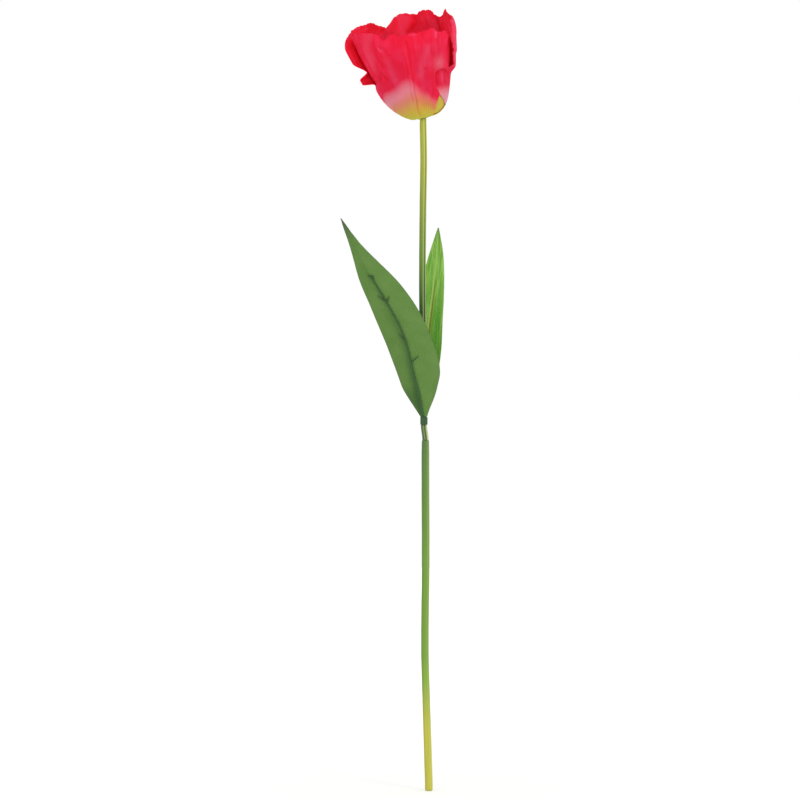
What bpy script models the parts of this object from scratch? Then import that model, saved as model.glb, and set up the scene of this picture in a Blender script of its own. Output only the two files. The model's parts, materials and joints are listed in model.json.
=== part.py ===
"""Artificial parrot tulip: a two-piece plastic stem on steel wires, a leaf collar with two fabric
leaves on moulded ribs, and a ruffled bloom of six heat-formed petals on a turned receptacle.
Metres, +Z up. The origin is the middle of the stem's cut end, and the photographed front faces -Y."""

import math

import bmesh
import bpy
import numpy as np
from mathutils import Matrix, Vector

# Fits and edges shared by the moulded parts
CLEARANCE = 0.0003
CHAMFER = 0.0004
SHOULDER_STEP = 0.0001
CUTTER_OVERRUN = 0.0020

# Lower stem: a moulded tube with a closed foot and a tapered mouth
LOWER_STEM_LENGTH = 0.2960
LOWER_STEM_DIAMETER = 0.0066
FOOT_ROUNDING = 0.0012
FOOT_WALL = 0.0060
MOUTH_DIAMETER = 0.0060
MOUTH_TAPER_LENGTH = 0.0130
LOWER_WIRE_DIAMETER = 0.0022
# Sway of its centre line: share of the length below the socket, and offset to the side
LOWER_SWAY = ((0.0, 0.0), (0.24, -0.0019), (0.45, -0.0033), (0.72, -0.0027), (1.0, -0.0029))

# Upper stem: a spigot below, a groove for the leaf collar, a peg above for the bloom
SPIGOT_DIAMETER = 0.0040
SPIGOT_LENGTH = 0.0320
SOCKET_RELIEF = 0.0015
NECK_DIAMETER = 0.0053
NECK_LENGTH = 0.0125
NECK_LEAN = -0.0013
GROOVE_DIAMETER = 0.0044
LEAF_SEAT_LENGTH = 0.0055
UPPER_STEM_DIAMETER = 0.00575
UPPER_STEM_LENGTH = 0.2460
UPPER_WIRE_DIAMETER = 0.0016
PEG_DIAMETER = 0.0036
PEG_LENGTH = 0.0060
PEG_END_WALL = 0.0010
# Sway above the groove: share of the length, and offset to the side
UPPER_SWAY = ((0.0, 0.0), (0.38, -0.0012), (0.65, -0.0009), (0.86, -0.0002), (1.0, -0.0008))
BLOOM_LEAN = 11.5

# Leaf collar: a soft sleeve with a root lug for each leaf rib
COLLAR_LENGTH = 0.0065
COLLAR_WALL = 0.0006
LUG_WIDTH = 0.0024
LUG_FOOT_RADIUS = 0.0008
LARGE_LEAF_AZIMUTH = -100.0
SMALL_LEAF_AZIMUTH = 78.0

# Leaf blades and ribs
LEAF_THICKNESS = 0.0005
LEAF_CELLS = (8, 26)
THIN_TIP = 0.0002
LARGE_RIB_RADIUS = 0.0010
LARGE_RIB_TIP_RADIUS = 0.0005
LARGE_RIB_SHARE = 0.70
SMALL_RIB_RADIUS = 0.0009
SMALL_RIB_TIP_RADIUS = 0.00045
SMALL_RIB_SHARE = 0.55
# Each station: share of the midrib, side offset, outward offset, height, then the left and
# right half widths of the blade and the angle through which each half is bent back at its edge
LARGE_LEAF = (
    (0.000, 0.0000, 0.0000, 0.0000, 0.0034, 0.0034, 72.0),
    (0.105, -0.0028, 0.0034, 0.0188, 0.0175, 0.0170, 62.0),
    (0.200, -0.0066, 0.0068, 0.0352, 0.0178, 0.0240, 40.0),
    (0.390, -0.0141, 0.0135, 0.0685, 0.0190, 0.0208, 24.0),
    (0.560, -0.0279, 0.0190, 0.0970, 0.0152, 0.0184, 18.0),
    (0.700, -0.0405, 0.0230, 0.1186, 0.0108, 0.0132, 16.0),
    (0.860, -0.0533, 0.0255, 0.1440, 0.0045, 0.0044, 14.0),
    (1.000, -0.0647, 0.0262, 0.1660, 0.0002, 0.0002, 10.0),
)
SMALL_LEAF = (
    (0.000, 0.0000, 0.0000, 0.0000, 0.0032, 0.0032, 72.0),
    (0.120, 0.0000, 0.0034, 0.0190, 0.0100, 0.0100, 55.0),
    (0.300, -0.0005, 0.0085, 0.0470, 0.0138, 0.0138, 35.0),
    (0.440, -0.0002, 0.0122, 0.0700, 0.0140, 0.0140, 28.0),
    (0.580, 0.0022, 0.0150, 0.0925, 0.0116, 0.0116, 24.0),
    (0.720, 0.0045, 0.0170, 0.1150, 0.0096, 0.0096, 22.0),
    (0.880, 0.0067, 0.0182, 0.1410, 0.0056, 0.0056, 18.0),
    (1.000, 0.0078, 0.0190, 0.1586, 0.0002, 0.0002, 12.0),
)
# Barbs of the large rib: share of the midrib, angle off the rib (left is positive), length
LARGE_BARBS = (
    (0.26, -60.0, 0.0060), (0.36, 28.0, 0.0066), (0.555, -50.0, 0.0045), (0.555, 24.0, 0.0062),
    (0.672, -24.0, 0.0042), (0.684, 22.0, 0.0040),
)
BARB_RADIUS = 0.00045
RIB_RINGS = 16

# Receptacle, pistil and stamens
RECEPTACLE_RADIUS = 0.0045
RECEPTACLE_HEIGHT = 0.0120
PISTIL_PIN_RADIUS = 0.0010
PISTIL_PIN_LENGTH = 0.0030
PISTIL_RADIUS = 0.0019
PISTIL_HEIGHT = 0.0240
# Pistil profile from its top: share of its radius, and share of its height
PISTIL_PROFILE = ((0.90, 0.975), (1.0, 0.917), (0.72, 0.792), (0.90, 0.583), (1.0, 0.250), (0.86, 0.0))
STIGMA_LOBE_RADIUS = 0.0017
STIGMA_LOBE_SHAPE = (1.25, 0.72, 0.62)
STAMEN_RING_WALL = 0.0015
STAMEN_RING_HEIGHT = 0.0014
STAMEN_COUNT = 6
FILAMENT_RADIUS = 0.0005
FILAMENT_HEIGHT = 0.0170
FILAMENT_SPREAD = 0.0045
ANTHER_RADIUS = 0.0012
ANTHER_LENGTH = 0.0070

# Bloom: the cup that every petal lies on, as radius and height from the bloom's own axis
PETAL_THICKNESS = 0.0006
PETAL_CELLS = (16, 20)
CUP = (
    (0.0040, 0.0012), (0.0090, 0.0005), (0.0130, 0.0010), (0.0175, 0.0033), (0.0215, 0.0070),
    (0.0248, 0.0122), (0.0278, 0.0200), (0.0312, 0.0310), (0.0345, 0.0440), (0.0368, 0.0560),
    (0.0384, 0.0680), (0.0380, 0.0800), (0.0355, 0.0930), (0.0345, 0.0965),
)
PETAL_LAYER = 0.0013
# The bloom opens to the left: the lean of that side, the height it starts at, and where across
LEFT_OPENING = 0.145
LEFT_OPENING_START = 0.008
LEFT_OPENING_ACROSS = (0.012, 0.020)
RUFFLE_START = 0.050
RUFFLE_RISE = 0.060
WIDE_RUFFLE = 0.0012
WIDE_RUFFLE_WAVES = 5
FINE_RUFFLE = 0.0008
FINE_RUFFLE_WAVES = 13
FINE_RUFFLE_TWIST = 90.0
ROLL_START = 0.75
FLARE_START = 0.62
# Each petal: its layer counted from outside, the outward roll of its top edge, the outward flare of
# its low and high sides, its top edge as shares across and heights, and its outline: height, then
# the angles of its low and high edges
PETALS = {
    "petal_front": (0, 0.0025, (0.0, 0.0), (
        (-1.0, 0.0760), (-0.92, 0.0738), (-0.85, 0.0696), (-0.78, 0.0690), (-0.70, 0.0716),
        (-0.6, 0.0714), (-0.4, 0.0692), (-0.2, 0.0697), (0.0, 0.0691),
        (0.2, 0.0696), (0.4, 0.0706), (0.6, 0.0668), (0.8, 0.0677), (1.0, 0.0640)), (
        (0.000, -140.0, -50.0), (0.009, -158.0, -54.0), (0.0166, -171.0, -49.0), (0.022, -176.0, -56.0),
        (0.029, -171.0, -59.0), (0.0345, -158.0, -56.0), (0.037, -140.0, -44.0), (0.0382, -137.0, -29.0),
        (0.0428, -135.0, -32.0), (0.048, -133.0, -34.0), (0.055, -131.0, -34.5), (0.062, -128.0, -31.5),
        (0.066, -126.5, -30.0), (0.078, -121.5, -31.0), (0.090, -120.0, -33.0))),
    "petal_right": (1, 0.0010, (0.0061, 0.0), (
        (-1.0, 0.0782), (-0.8, 0.0866), (-0.65, 0.0864), (-0.55, 0.0848), (-0.4, 0.0860),
        (-0.2, 0.0880), (0.0, 0.0886), (0.4, 0.0868), (0.8, 0.0828), (1.0, 0.0775)), (
        (0.000, -4.0, 84.0), (0.0073, -11.0, 88.0), (0.0085, -19.0, 89.0), (0.0128, -36.0, 90.0),
        (0.0166, -49.0, 92.0), (0.022, -60.0, 93.0), (0.030, -60.0, 96.0), (0.036, -46.0, 97.0),
        (0.043, -28.0, 99.0), (0.050, -16.0, 100.0), (0.060, -14.0, 100.0), (0.090, -12.0, 96.0))),
    "petal_left": (2, 0.0006, (0.0, 0.0078), (
        (-1.0, 0.0742), (-0.8, 0.0763), (-0.6, 0.0786), (-0.4, 0.0824), (-0.2, 0.0884), (0.0, 0.0920),
        (0.2, 0.0904), (0.4, 0.0877), (0.6, 0.0850), (0.8, 0.0834), (1.0, 0.0762)), (
        (0.000, 92.0, 170.0), (0.020, 82.0, 178.0), (0.036, 78.0, 186.0), (0.050, 76.0, 186.0),
        (0.090, 78.0, 184.0))),
    "petal_inner_left": (3, 0.0, (0.0, 0.0), (
        (-1.0, 0.0700), (-0.7, 0.0780), (-0.4, 0.0800), (-0.2, 0.0815), (0.0, 0.0822), (0.2, 0.0799),
        (0.4, 0.0794), (0.6, 0.0771), (0.8, 0.0688), (1.0, 0.0588)), (
        (0.000, 164.0, 250.0), (0.020, 154.0, 262.0), (0.050, 150.0, 262.0), (0.090, 150.0, 242.0))),
    "petal_inner_back": (3, 0.0, (0.0, 0.0), (
        (-1.0, 0.0905), (-0.8, 0.0934), (-0.6, 0.0944), (-0.4, 0.0937), (-0.2, 0.0921), (0.0, 0.0938),
        (0.2, 0.0955), (0.4, 0.0952), (0.6, 0.0934), (0.8, 0.0889), (1.0, 0.0800)), (
        (0.000, 44.0, 128.0), (0.020, 32.0, 140.0), (0.060, 30.0, 136.0), (0.092, 34.0, 118.0))),
    "petal_inner_right": (2.3, 0.0, (0.0, 0.0), (
        (-1.0, 0.0560), (-0.6, 0.0617), (0.0, 0.0640), (0.6, 0.0630), (1.0, 0.0580)), (
        (0.000, -74.0, 8.0), (0.020, -88.0, 22.0), (0.050, -90.0, 26.0), (0.090, -84.0, 24.0))),
}
# Flared side margins as lobes: lower and upper heights, the rise and fall at their ends, and their
# share of the flare. A high side has a long lobe above a notch and a short one below it
LOW_SIDE_LOBES = ((0.0430, 0.0980, 0.0080, 0.0300, 0.78), (0.0500, 0.0980, 0.0160, 0.0300, 1.0))
HIGH_SIDE_LOBES = ((0.0465, 0.0900, 0.0120, 0.0220, 1.0), (0.0358, 0.0474, 0.0040, 0.0040, 1.2))
SCALLOP_COUNT = 8
SCALLOP_DEPTH = 0.0008

# Places that follow from the sizes above
GROOVE_LENGTH = COLLAR_LENGTH + 2 * CLEARANCE + LEAF_SEAT_LENGTH
COLLAR_BORE_RADIUS = GROOVE_DIAMETER / 2 + CLEARANCE
COLLAR_RADIUS = COLLAR_BORE_RADIUS + COLLAR_WALL
SOCKET_BOTTOM_Z = LOWER_STEM_LENGTH - SPIGOT_LENGTH - SOCKET_RELIEF
PLUG_X = LOWER_SWAY[-1][1]
NECK_Z = LOWER_STEM_LENGTH + CLEARANCE
GROOVE_Z = NECK_Z + NECK_LENGTH
COLLAR_X = PLUG_X + NECK_LEAN
COLLAR_Z = GROOVE_Z + CLEARANCE
COLLAR_TOP_Z = COLLAR_Z + COLLAR_LENGTH
UPPER_Z = GROOVE_Z + GROOVE_LENGTH
BLADE_RADIUS = COLLAR_BORE_RADIUS + LEAF_THICKNESS / 2 + SHOULDER_STEP
BLOOM_BASE = Vector((COLLAR_X + UPPER_SWAY[-1][1], 0.0, UPPER_Z + UPPER_STEM_LENGTH))
BLOOM_AXIS = Vector((-math.sin(math.radians(BLOOM_LEAN)), 0.0, math.cos(math.radians(BLOOM_LEAN))))
FOOT_RADIUS = RECEPTACLE_RADIUS + CLEARANCE


def clear_scene():
    for obj in list(bpy.data.objects):
        bpy.data.objects.remove(obj, do_unlink=True)


def new_collection(name, hidden=False):
    collection = bpy.data.collections.new(name)
    collection.hide_render = hidden
    bpy.context.scene.collection.children.link(collection)
    return collection


def material(name, colour, roughness):
    made = bpy.data.materials.new(name)
    made.use_nodes = True
    shader = made.node_tree.nodes["Principled BSDF"]
    shader.inputs["Base Color"].default_value = (*colour, 1.0)
    shader.inputs["Roughness"].default_value = roughness
    made.diffuse_color = (*colour, 1.0)
    return made


def metal(name, colour, roughness):
    made = material(name, colour, roughness)
    made.node_tree.nodes["Principled BSDF"].inputs["Metallic"].default_value = 1.0
    return made


def smooth_shade(mesh, angle=40.0):
    mesh.shade_smooth()
    mesh.set_sharp_from_angle(angle=math.radians(angle))


def add_mesh(name, bm, collection):
    mesh = bpy.data.meshes.new(name)
    bm.to_mesh(mesh)
    bm.free()
    smooth_shade(mesh)
    obj = bpy.data.objects.new(name, mesh)
    collection.objects.link(obj)
    return obj


def smooth_curve(points, count):
    """A Catmull-Rom curve through the points, read at even steps of its length."""
    known = np.array(points, float)
    padded = np.vstack([2 * known[0] - known[1], known, 2 * known[-1] - known[-2]])
    rows = []
    for before, start, end, after in zip(padded, padded[1:], padded[2:], padded[3:]):
        t = np.linspace(0.0, 1.0, 24, endpoint=False)[:, None]
        rows.append(
            0.5 * (2 * start + (end - before) * t + (2 * before - 5 * start + 4 * end - after) * t**2
                   + (3 * start - before - 3 * end + after) * t**3)
        )
    dense = np.vstack([*rows, known[-1:]])
    along = np.concatenate([[0.0], np.cumsum(np.linalg.norm(np.diff(dense, axis=0), axis=1))])
    steps = np.linspace(0.0, along[-1], count)
    return np.column_stack([np.interp(steps, along, dense[:, k]) for k in range(known.shape[1])])


def tube(name, rings, collection, resolution=4):
    """A closed tube mesh along the rings, each a centre and a radius, made as a beveled curve."""
    data = bpy.data.curves.new(name, "CURVE")
    data.dimensions = "3D"
    data.bevel_depth = 1.0
    data.bevel_resolution = resolution
    data.use_fill_caps = True
    spline = data.splines.new("POLY")
    spline.points.add(len(rings) - 1)
    for point, (centre, radius) in zip(spline.points, rings):
        point.co = (*centre, 1.0)
        point.radius = radius
    curve = bpy.data.objects.new(name + "_path", data)
    collection.objects.link(curve)
    bpy.context.view_layer.update()
    evaluated = curve.evaluated_get(bpy.context.evaluated_depsgraph_get())
    mesh = bpy.data.meshes.new_from_object(evaluated)
    bpy.data.objects.remove(curve, do_unlink=True)
    bm = bmesh.new()
    bm.from_mesh(mesh)
    bpy.data.meshes.remove(mesh)
    bmesh.ops.remove_doubles(bm, verts=bm.verts, dist=1e-6)
    bmesh.ops.recalc_face_normals(bm, faces=bm.faces)
    return add_mesh(name, bm, collection)


def turned(name, profile, collection, sides=32):
    """A solid of revolution about Z from a list of radius and height, from its top to its foot."""
    bm = bmesh.new()
    corners = [bm.verts.new((radius, 0.0, height)) for radius, height in profile]
    for a, b in zip(corners, corners[1:]):
        bm.edges.new((a, b))
    obj = add_mesh(name, bm, collection)
    screw = obj.modifiers.new("turn", "SCREW")
    screw.steps = screw.render_steps = sides
    screw.use_merge_vertices = True
    screw.merge_threshold = 0.00001
    return obj


def cut(obj, cutter, operation="DIFFERENCE"):
    step = obj.modifiers.new(operation.lower(), "BOOLEAN")
    step.operation = operation
    step.solver = "EXACT"
    step.object = cutter
    cutter.display_type = "WIRE"
    cutter.hide_render = True


def stem_x(share, sway):
    """Side offset of a stem's centre line at a share of its length, eased between its points."""
    places = smooth_curve(sway, 60)
    return float(np.interp(share, places[:, 0], places[:, 1]))


def lower_centre(z):
    """The lower stem stands square on its foot and is straight along its socket."""
    share = (z - FOOT_WALL) / (SOCKET_BOTTOM_Z - FOOT_WALL)
    return Vector((stem_x(min(max(share, 0.0), 1.0), LOWER_SWAY), 0.0, z))


def ease(value):
    clipped = np.clip(value, 0.0, 1.0)
    return clipped * clipped * (3 - 2 * clipped)


def upper_centre(z):
    if z < GROOVE_Z:
        return Vector((PLUG_X + NECK_LEAN * float(ease((z - NECK_Z) / NECK_LENGTH)), 0.0, z))
    share = max(0.0, (z - UPPER_Z) / UPPER_STEM_LENGTH)
    return Vector((COLLAR_X + stem_x(share, UPPER_SWAY), 0.0, z))


def make_lower_stem(parts, cutters):
    radius = LOWER_STEM_DIAMETER / 2
    rings = []
    for degrees in (0.0, 30.0, 60.0, 90.0):
        turn = math.radians(degrees)
        height = FOOT_ROUNDING * (1 - math.cos(turn))
        rings.append((lower_centre(height), radius - FOOT_ROUNDING * (1 - math.sin(turn))))
    for share in np.linspace(0.03, 1.0, 13):
        rings.append((lower_centre(share * (LOWER_STEM_LENGTH - MOUTH_TAPER_LENGTH)), radius))
    for share in (0.5, 1.0):
        z = LOWER_STEM_LENGTH - MOUTH_TAPER_LENGTH * (1 - share)
        rings.append((lower_centre(z), radius + (MOUTH_DIAMETER / 2 - radius) * share**1.5))
    stem = tube("lower_stem", rings, parts, 4)

    wire_radius = LOWER_WIRE_DIAMETER / 2
    wire_heights = np.linspace(FOOT_WALL, SOCKET_BOTTOM_Z, 12)
    bore = [(lower_centre(z), wire_radius + CLEARANCE) for z in wire_heights]
    socket_radius = SPIGOT_DIAMETER / 2 + CLEARANCE
    bore.append((lower_centre(SOCKET_BOTTOM_Z + SHOULDER_STEP), socket_radius))
    bore.append((lower_centre(LOWER_STEM_LENGTH + CUTTER_OVERRUN), socket_radius))
    cut(stem, tube("lower_stem_bore", bore, cutters, 4))
    wire = [(lower_centre(z), wire_radius) for z in wire_heights]
    wire[0] = (lower_centre(FOOT_WALL + CLEARANCE), wire_radius)
    return stem, tube("lower_wire", wire, parts, 2)


def make_upper_stem(parts, cutters):
    groove = GROOVE_DIAMETER / 2
    spigot_z = LOWER_STEM_LENGTH - SPIGOT_LENGTH
    rings = [
        (upper_centre(spigot_z), SPIGOT_DIAMETER / 2 - CHAMFER),
        (upper_centre(spigot_z + CHAMFER), SPIGOT_DIAMETER / 2),
        (upper_centre(NECK_Z), SPIGOT_DIAMETER / 2),
        (upper_centre(NECK_Z + SHOULDER_STEP), NECK_DIAMETER / 2),
    ]
    for share in (0.25, 0.5, 0.75, 0.97):
        rings.append((upper_centre(NECK_Z + share * NECK_LENGTH), NECK_DIAMETER / 2))
    rings.append((upper_centre(GROOVE_Z), groove))
    rings.append((upper_centre(UPPER_Z - CHAMFER), groove))
    for share in np.linspace(0.0, 0.975, 14):
        rings.append((upper_centre(UPPER_Z + share * UPPER_STEM_LENGTH), UPPER_STEM_DIAMETER / 2))
    rings.append((BLOOM_BASE - BLOOM_AXIS * 3 * CHAMFER, UPPER_STEM_DIAMETER / 2))
    rings.append((BLOOM_BASE, UPPER_STEM_DIAMETER / 2 - CHAMFER))
    rings.append((BLOOM_BASE + BLOOM_AXIS * SHOULDER_STEP, PEG_DIAMETER / 2))
    rings.append((BLOOM_BASE + BLOOM_AXIS * (PEG_LENGTH - CHAMFER), PEG_DIAMETER / 2))
    rings.append((BLOOM_BASE + BLOOM_AXIS * PEG_LENGTH, PEG_DIAMETER / 2 - CHAMFER))
    stem = tube("upper_stem", rings, parts, 4)

    inside = [centre for centre, _ in rings[1:-3]]
    end = BLOOM_BASE + BLOOM_AXIS * (PEG_LENGTH - PEG_END_WALL)
    wire_radius = UPPER_WIRE_DIAMETER / 2
    below = upper_centre(spigot_z - CUTTER_OVERRUN)
    bore = [(centre, wire_radius + CLEARANCE) for centre in [below, *inside, end]]
    cut(stem, tube("upper_stem_bore", bore, cutters, 3))
    wire = [(centre, wire_radius) for centre in [*inside, end - BLOOM_AXIS * CLEARANCE]]
    return stem, tube("upper_wire", wire, parts, 2)


def outward_at(azimuth):
    turn = math.radians(azimuth)
    return np.array([math.cos(turn), math.sin(turn), 0.0])


def lug_reach(rib_radius):
    """How far from the stem's axis a rib's middle lies where it stands on its lug."""
    return BLADE_RADIUS + LEAF_THICKNESS / 2 + CLEARANCE + rib_radius


def make_collar(parts, cutters):
    bm = bmesh.new()
    bmesh.ops.create_cone(bm, cap_ends=True, segments=32, radius1=COLLAR_RADIUS,
                          radius2=COLLAR_RADIUS, depth=COLLAR_LENGTH)
    collar = add_mesh("leaf_collar", bm, parts)
    collar.location = (COLLAR_X, 0.0, COLLAR_Z + COLLAR_LENGTH / 2)
    leaves = (("large", LARGE_LEAF_AZIMUTH, LARGE_RIB_RADIUS),
              ("small", SMALL_LEAF_AZIMUTH, SMALL_RIB_RADIUS))
    for name, azimuth, rib_radius in leaves:
        turn = math.radians(azimuth)
        reach = lug_reach(rib_radius)
        bm = bmesh.new()
        bmesh.ops.create_cone(bm, cap_ends=True, segments=12, radius1=LUG_FOOT_RADIUS,
                              radius2=LUG_WIDTH / 2, depth=COLLAR_LENGTH)
        bmesh.ops.translate(bm, vec=(reach, 0.0, 0.0), verts=bm.verts)
        root = add_mesh(f"{name}_lug_root", bm, cutters)
        bm = bmesh.new()
        bmesh.ops.create_cube(bm, size=1.0)
        size = Matrix.Diagonal((reach - COLLAR_BORE_RADIUS, LUG_FOOT_RADIUS * 2, COLLAR_LENGTH, 1.0))
        middle = Matrix.Translation(((reach + COLLAR_BORE_RADIUS) / 2, 0.0, 0.0))
        bmesh.ops.transform(bm, matrix=middle @ size, verts=bm.verts)
        web = add_mesh(f"{name}_lug_web", bm, cutters)
        for lug in (root, web):
            lug.location = collar.location
            lug.rotation_euler = (0.0, 0.0, turn)
            cut(collar, lug, "UNION")
    bm = bmesh.new()
    bmesh.ops.create_cone(bm, cap_ends=True, segments=32, radius1=COLLAR_BORE_RADIUS,
                          radius2=COLLAR_BORE_RADIUS, depth=COLLAR_LENGTH * 2)
    bore = add_mesh("collar_bore", bm, cutters)
    bore.location = collar.location
    cut(collar, bore)
    return collar


def leaf_frames(stations, azimuth, count):
    """Stations of a leaf read at even shares: midrib points, half widths, bend, and directions.

    The midrib starts where the blade's foot stands against the stem, the outward direction is kept
    square to the midrib, and the side direction is square to both."""
    table = np.array(stations)
    rows = smooth_curve(table, 8 * len(table))
    shares = np.linspace(0.0, 1.0, count)
    values = [np.interp(shares, rows[:, 0], rows[:, k]) for k in range(1, 7)]
    side, outwards, height, left, right, bend = values
    outward = outward_at(azimuth)
    facing = 1.0 if azimuth < 0 else -1.0
    start = np.array([COLLAR_X, 0.0, COLLAR_TOP_Z + CLEARANCE]) + outward * BLADE_RADIUS
    sideways = np.array([1.0, 0.0, 0.0])
    points = start + side[:, None] * sideways + outwards[:, None] * outward
    points = points + height[:, None] * np.array([0.0, 0.0, 1.0])
    tangent = np.gradient(points, axis=0)
    tangent /= np.linalg.norm(tangent, axis=1)[:, None]
    across_rows = np.cross(outward, tangent) * -facing
    across_rows /= np.linalg.norm(across_rows, axis=1)[:, None]
    normal = np.cross(tangent, across_rows) * -facing
    normal *= np.sign(normal @ outward)[:, None]
    left, right = (np.maximum(half, THIN_TIP) for half in (left, right))
    return points, left, right, np.radians(bend), across_rows, normal


def leaf_point(frames, shares, t):
    """Blade surface: each half is an arc of the half width's length, bent back by the edge's angle."""
    points, left, right, bend, across, normal = frames
    grid = np.linspace(0.0, 1.0, len(points))

    def at(values):
        if values.ndim == 1:
            return np.interp(shares, grid, values)
        return np.column_stack([np.interp(shares, grid, values[:, k]) for k in range(3)])

    width = np.where(t < 0, at(left), at(right))
    angle = at(bend) * np.abs(t)
    sideways = np.sign(t) * width * np.sin(angle) / at(bend)
    inwards = width * (1 - np.cos(angle)) / at(bend)
    return at(points) + at(across) * sideways[:, None] - at(normal) * inwards[:, None]


def grid_sheet(name, cells, surface, thickness, collection):
    """A grid laid over a surface of two parameters, t from -1 to 1 and s from 0 to 1, with a wall."""
    bm = bmesh.new()
    bmesh.ops.create_grid(bm, x_segments=cells[0], y_segments=cells[1], size=1.0)
    flat = np.array([v.co[:2] for v in bm.verts])
    places = surface(flat[:, 0], (flat[:, 1] + 1) / 2)
    for vertex, place in zip(bm.verts, places):
        vertex.co = place
    obj = add_mesh(name, bm, collection)
    wall = obj.modifiers.new("wall", "SOLIDIFY")
    wall.thickness = thickness
    wall.offset = 0.0
    wall.use_quality_normals = True
    return obj


def rib_rings(frames, shares, radii, foot):
    """Rings of a rib from its round foot, whose middle is the leaf's hinge, up along the blade's back."""
    points, _, _, _, _, normal = frames
    grid = np.linspace(0.0, 1.0, len(points))
    rings = []
    for share, radius in zip(shares, radii):
        place = np.array([np.interp(share, grid, points[:, k]) for k in range(3)])
        out = np.array([np.interp(share, grid, normal[:, k]) for k in range(3)])
        rings.append((place + out * (LEAF_THICKNESS / 2 + CLEARANCE + radius), radius))
    direction = rings[0][0] - foot
    direction = direction / np.linalg.norm(direction)
    ball = [(foot - direction * radii[0] * math.cos(a), radii[0] * math.sin(a))
            for a in np.radians((15.0, 35.0, 60.0, 90.0))]
    return ball + rings


def make_leaf(name, stations, azimuth, rib, barbs, parts, cutters):
    rib_radius, tip_radius, rib_share = rib
    frames = leaf_frames(stations, azimuth, 80)
    blade = grid_sheet(name + "_blade", LEAF_CELLS, lambda t, s: leaf_point(frames, s, t),
                       LEAF_THICKNESS, parts)
    foot = np.array([COLLAR_X, 0.0, COLLAR_TOP_Z + CLEARANCE + rib_radius])
    foot = foot + outward_at(azimuth) * lug_reach(rib_radius)
    shares = np.linspace(0.03, rib_share, RIB_RINGS)
    radii = np.linspace(rib_radius, tip_radius, RIB_RINGS)
    rings = rib_rings(frames, shares, radii, foot)
    stem = tube(name + "_rib", rings, parts, 2)
    for number, (share, degrees, length) in enumerate(barbs):
        points, _, _, _, across, normal = frames
        k = int(round(share * (len(points) - 1)))
        along = points[k + 1] - points[k]
        along = along / np.linalg.norm(along)
        turn = math.radians(degrees)
        way = along * math.cos(turn) - across[k] * math.sin(turn)
        base = points[k] + normal[k] * (LEAF_THICKNESS / 2 + CLEARANCE + 1.25 * BARB_RADIUS)
        barb = tube(f"{name}_barb_{number}", [
            (base, BARB_RADIUS), (base + way * length * 0.6, BARB_RADIUS),
            (base + way * length, BARB_RADIUS * 0.5)], cutters, 1)
        cut(stem, barb, "UNION")
    return blade, stem, foot


def cup_rows():
    """The cup's profile read densely: length along it, radius, height and outward normal."""
    rows = smooth_curve(CUP, 240)
    along = np.concatenate([[0.0], np.cumsum(np.linalg.norm(np.diff(rows, axis=0), axis=1))])
    tangent = np.gradient(rows, axis=0)
    tangent /= np.linalg.norm(tangent, axis=1)[:, None]
    return along, rows[:, 0], rows[:, 1], tangent[:, 1], -tangent[:, 0]


def margin_lobe(lobes, z):
    """How far a flared side margin stands out at a height, as a share of its flare."""
    share = np.zeros_like(z)
    for low, high, rise, fall, size in lobes:
        share = np.maximum(share, size * ease((z - low) / rise) * ease((high - z) / fall))
    return share


def petal_surface(spec, u, v):
    """A petal on the cup: u is -1 to 1 across it and v is 0 at its foot and 1 at its top edge.

    The outline gives the angle about the bloom at each height, the profile gives radius and height,
    and every layer, ruffle, roll and flare is a step along the profile's outward normal."""
    layer, roll, flares, top_edge, outline = spec
    along, radius, height, normal_r, normal_z = cup_rows()
    start = float(np.interp(FOOT_RADIUS + PETAL_THICKNESS / 2, radius[:60], along[:60]))
    tops = smooth_curve(top_edge, 80)
    scallop = SCALLOP_DEPTH * np.abs(np.sin(SCALLOP_COUNT * np.pi * (u + 1) / 2 + layer))
    reach = np.interp(np.interp(u, tops[:, 0], tops[:, 1]), height[60:], along[60:])
    reach = reach - SCALLOP_DEPTH + scallop
    s = start + (reach - start) * v
    r, z, nr, nz = (np.interp(s, along, row) for row in (radius, height, normal_r, normal_z))
    edges = smooth_curve(outline, 60)
    low, high = (np.radians(np.interp(z, edges[:, 0], edges[:, k])) for k in (1, 2))
    angle = low + (high - low) * (u + 1) / 2
    rise = np.clip((s - RUFFLE_START) / RUFFLE_RISE, 0.0, 1.0)
    step = -layer * PETAL_LAYER + WIDE_RUFFLE * rise * np.sin(WIDE_RUFFLE_WAVES * angle + 0.6)
    fine = FINE_RUFFLE_WAVES * angle + 2.0 + s * FINE_RUFFLE_TWIST
    step = step + FINE_RUFFLE * rise**2 * np.sin(fine)
    step = step + roll * ease((v - ROLL_START) / (1 - ROLL_START)) ** 2
    low_side, high_side = (ease((side - FLARE_START) / (1 - FLARE_START)) for side in (-u, u))
    step = step + flares[0] * margin_lobe(LOW_SIDE_LOBES, z) * low_side
    step = step + flares[1] * margin_lobe(HIGH_SIDE_LOBES, z) * high_side
    r, z = r + nr * step, z + nz * step
    x, y = r * np.cos(angle), r * np.sin(angle)
    opening = LEFT_OPENING * np.maximum(z - LEFT_OPENING_START, 0.0)
    inner, width = LEFT_OPENING_ACROSS
    x = x - opening * ease((-x - inner) / width)
    return np.column_stack([x, y, z])


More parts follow.
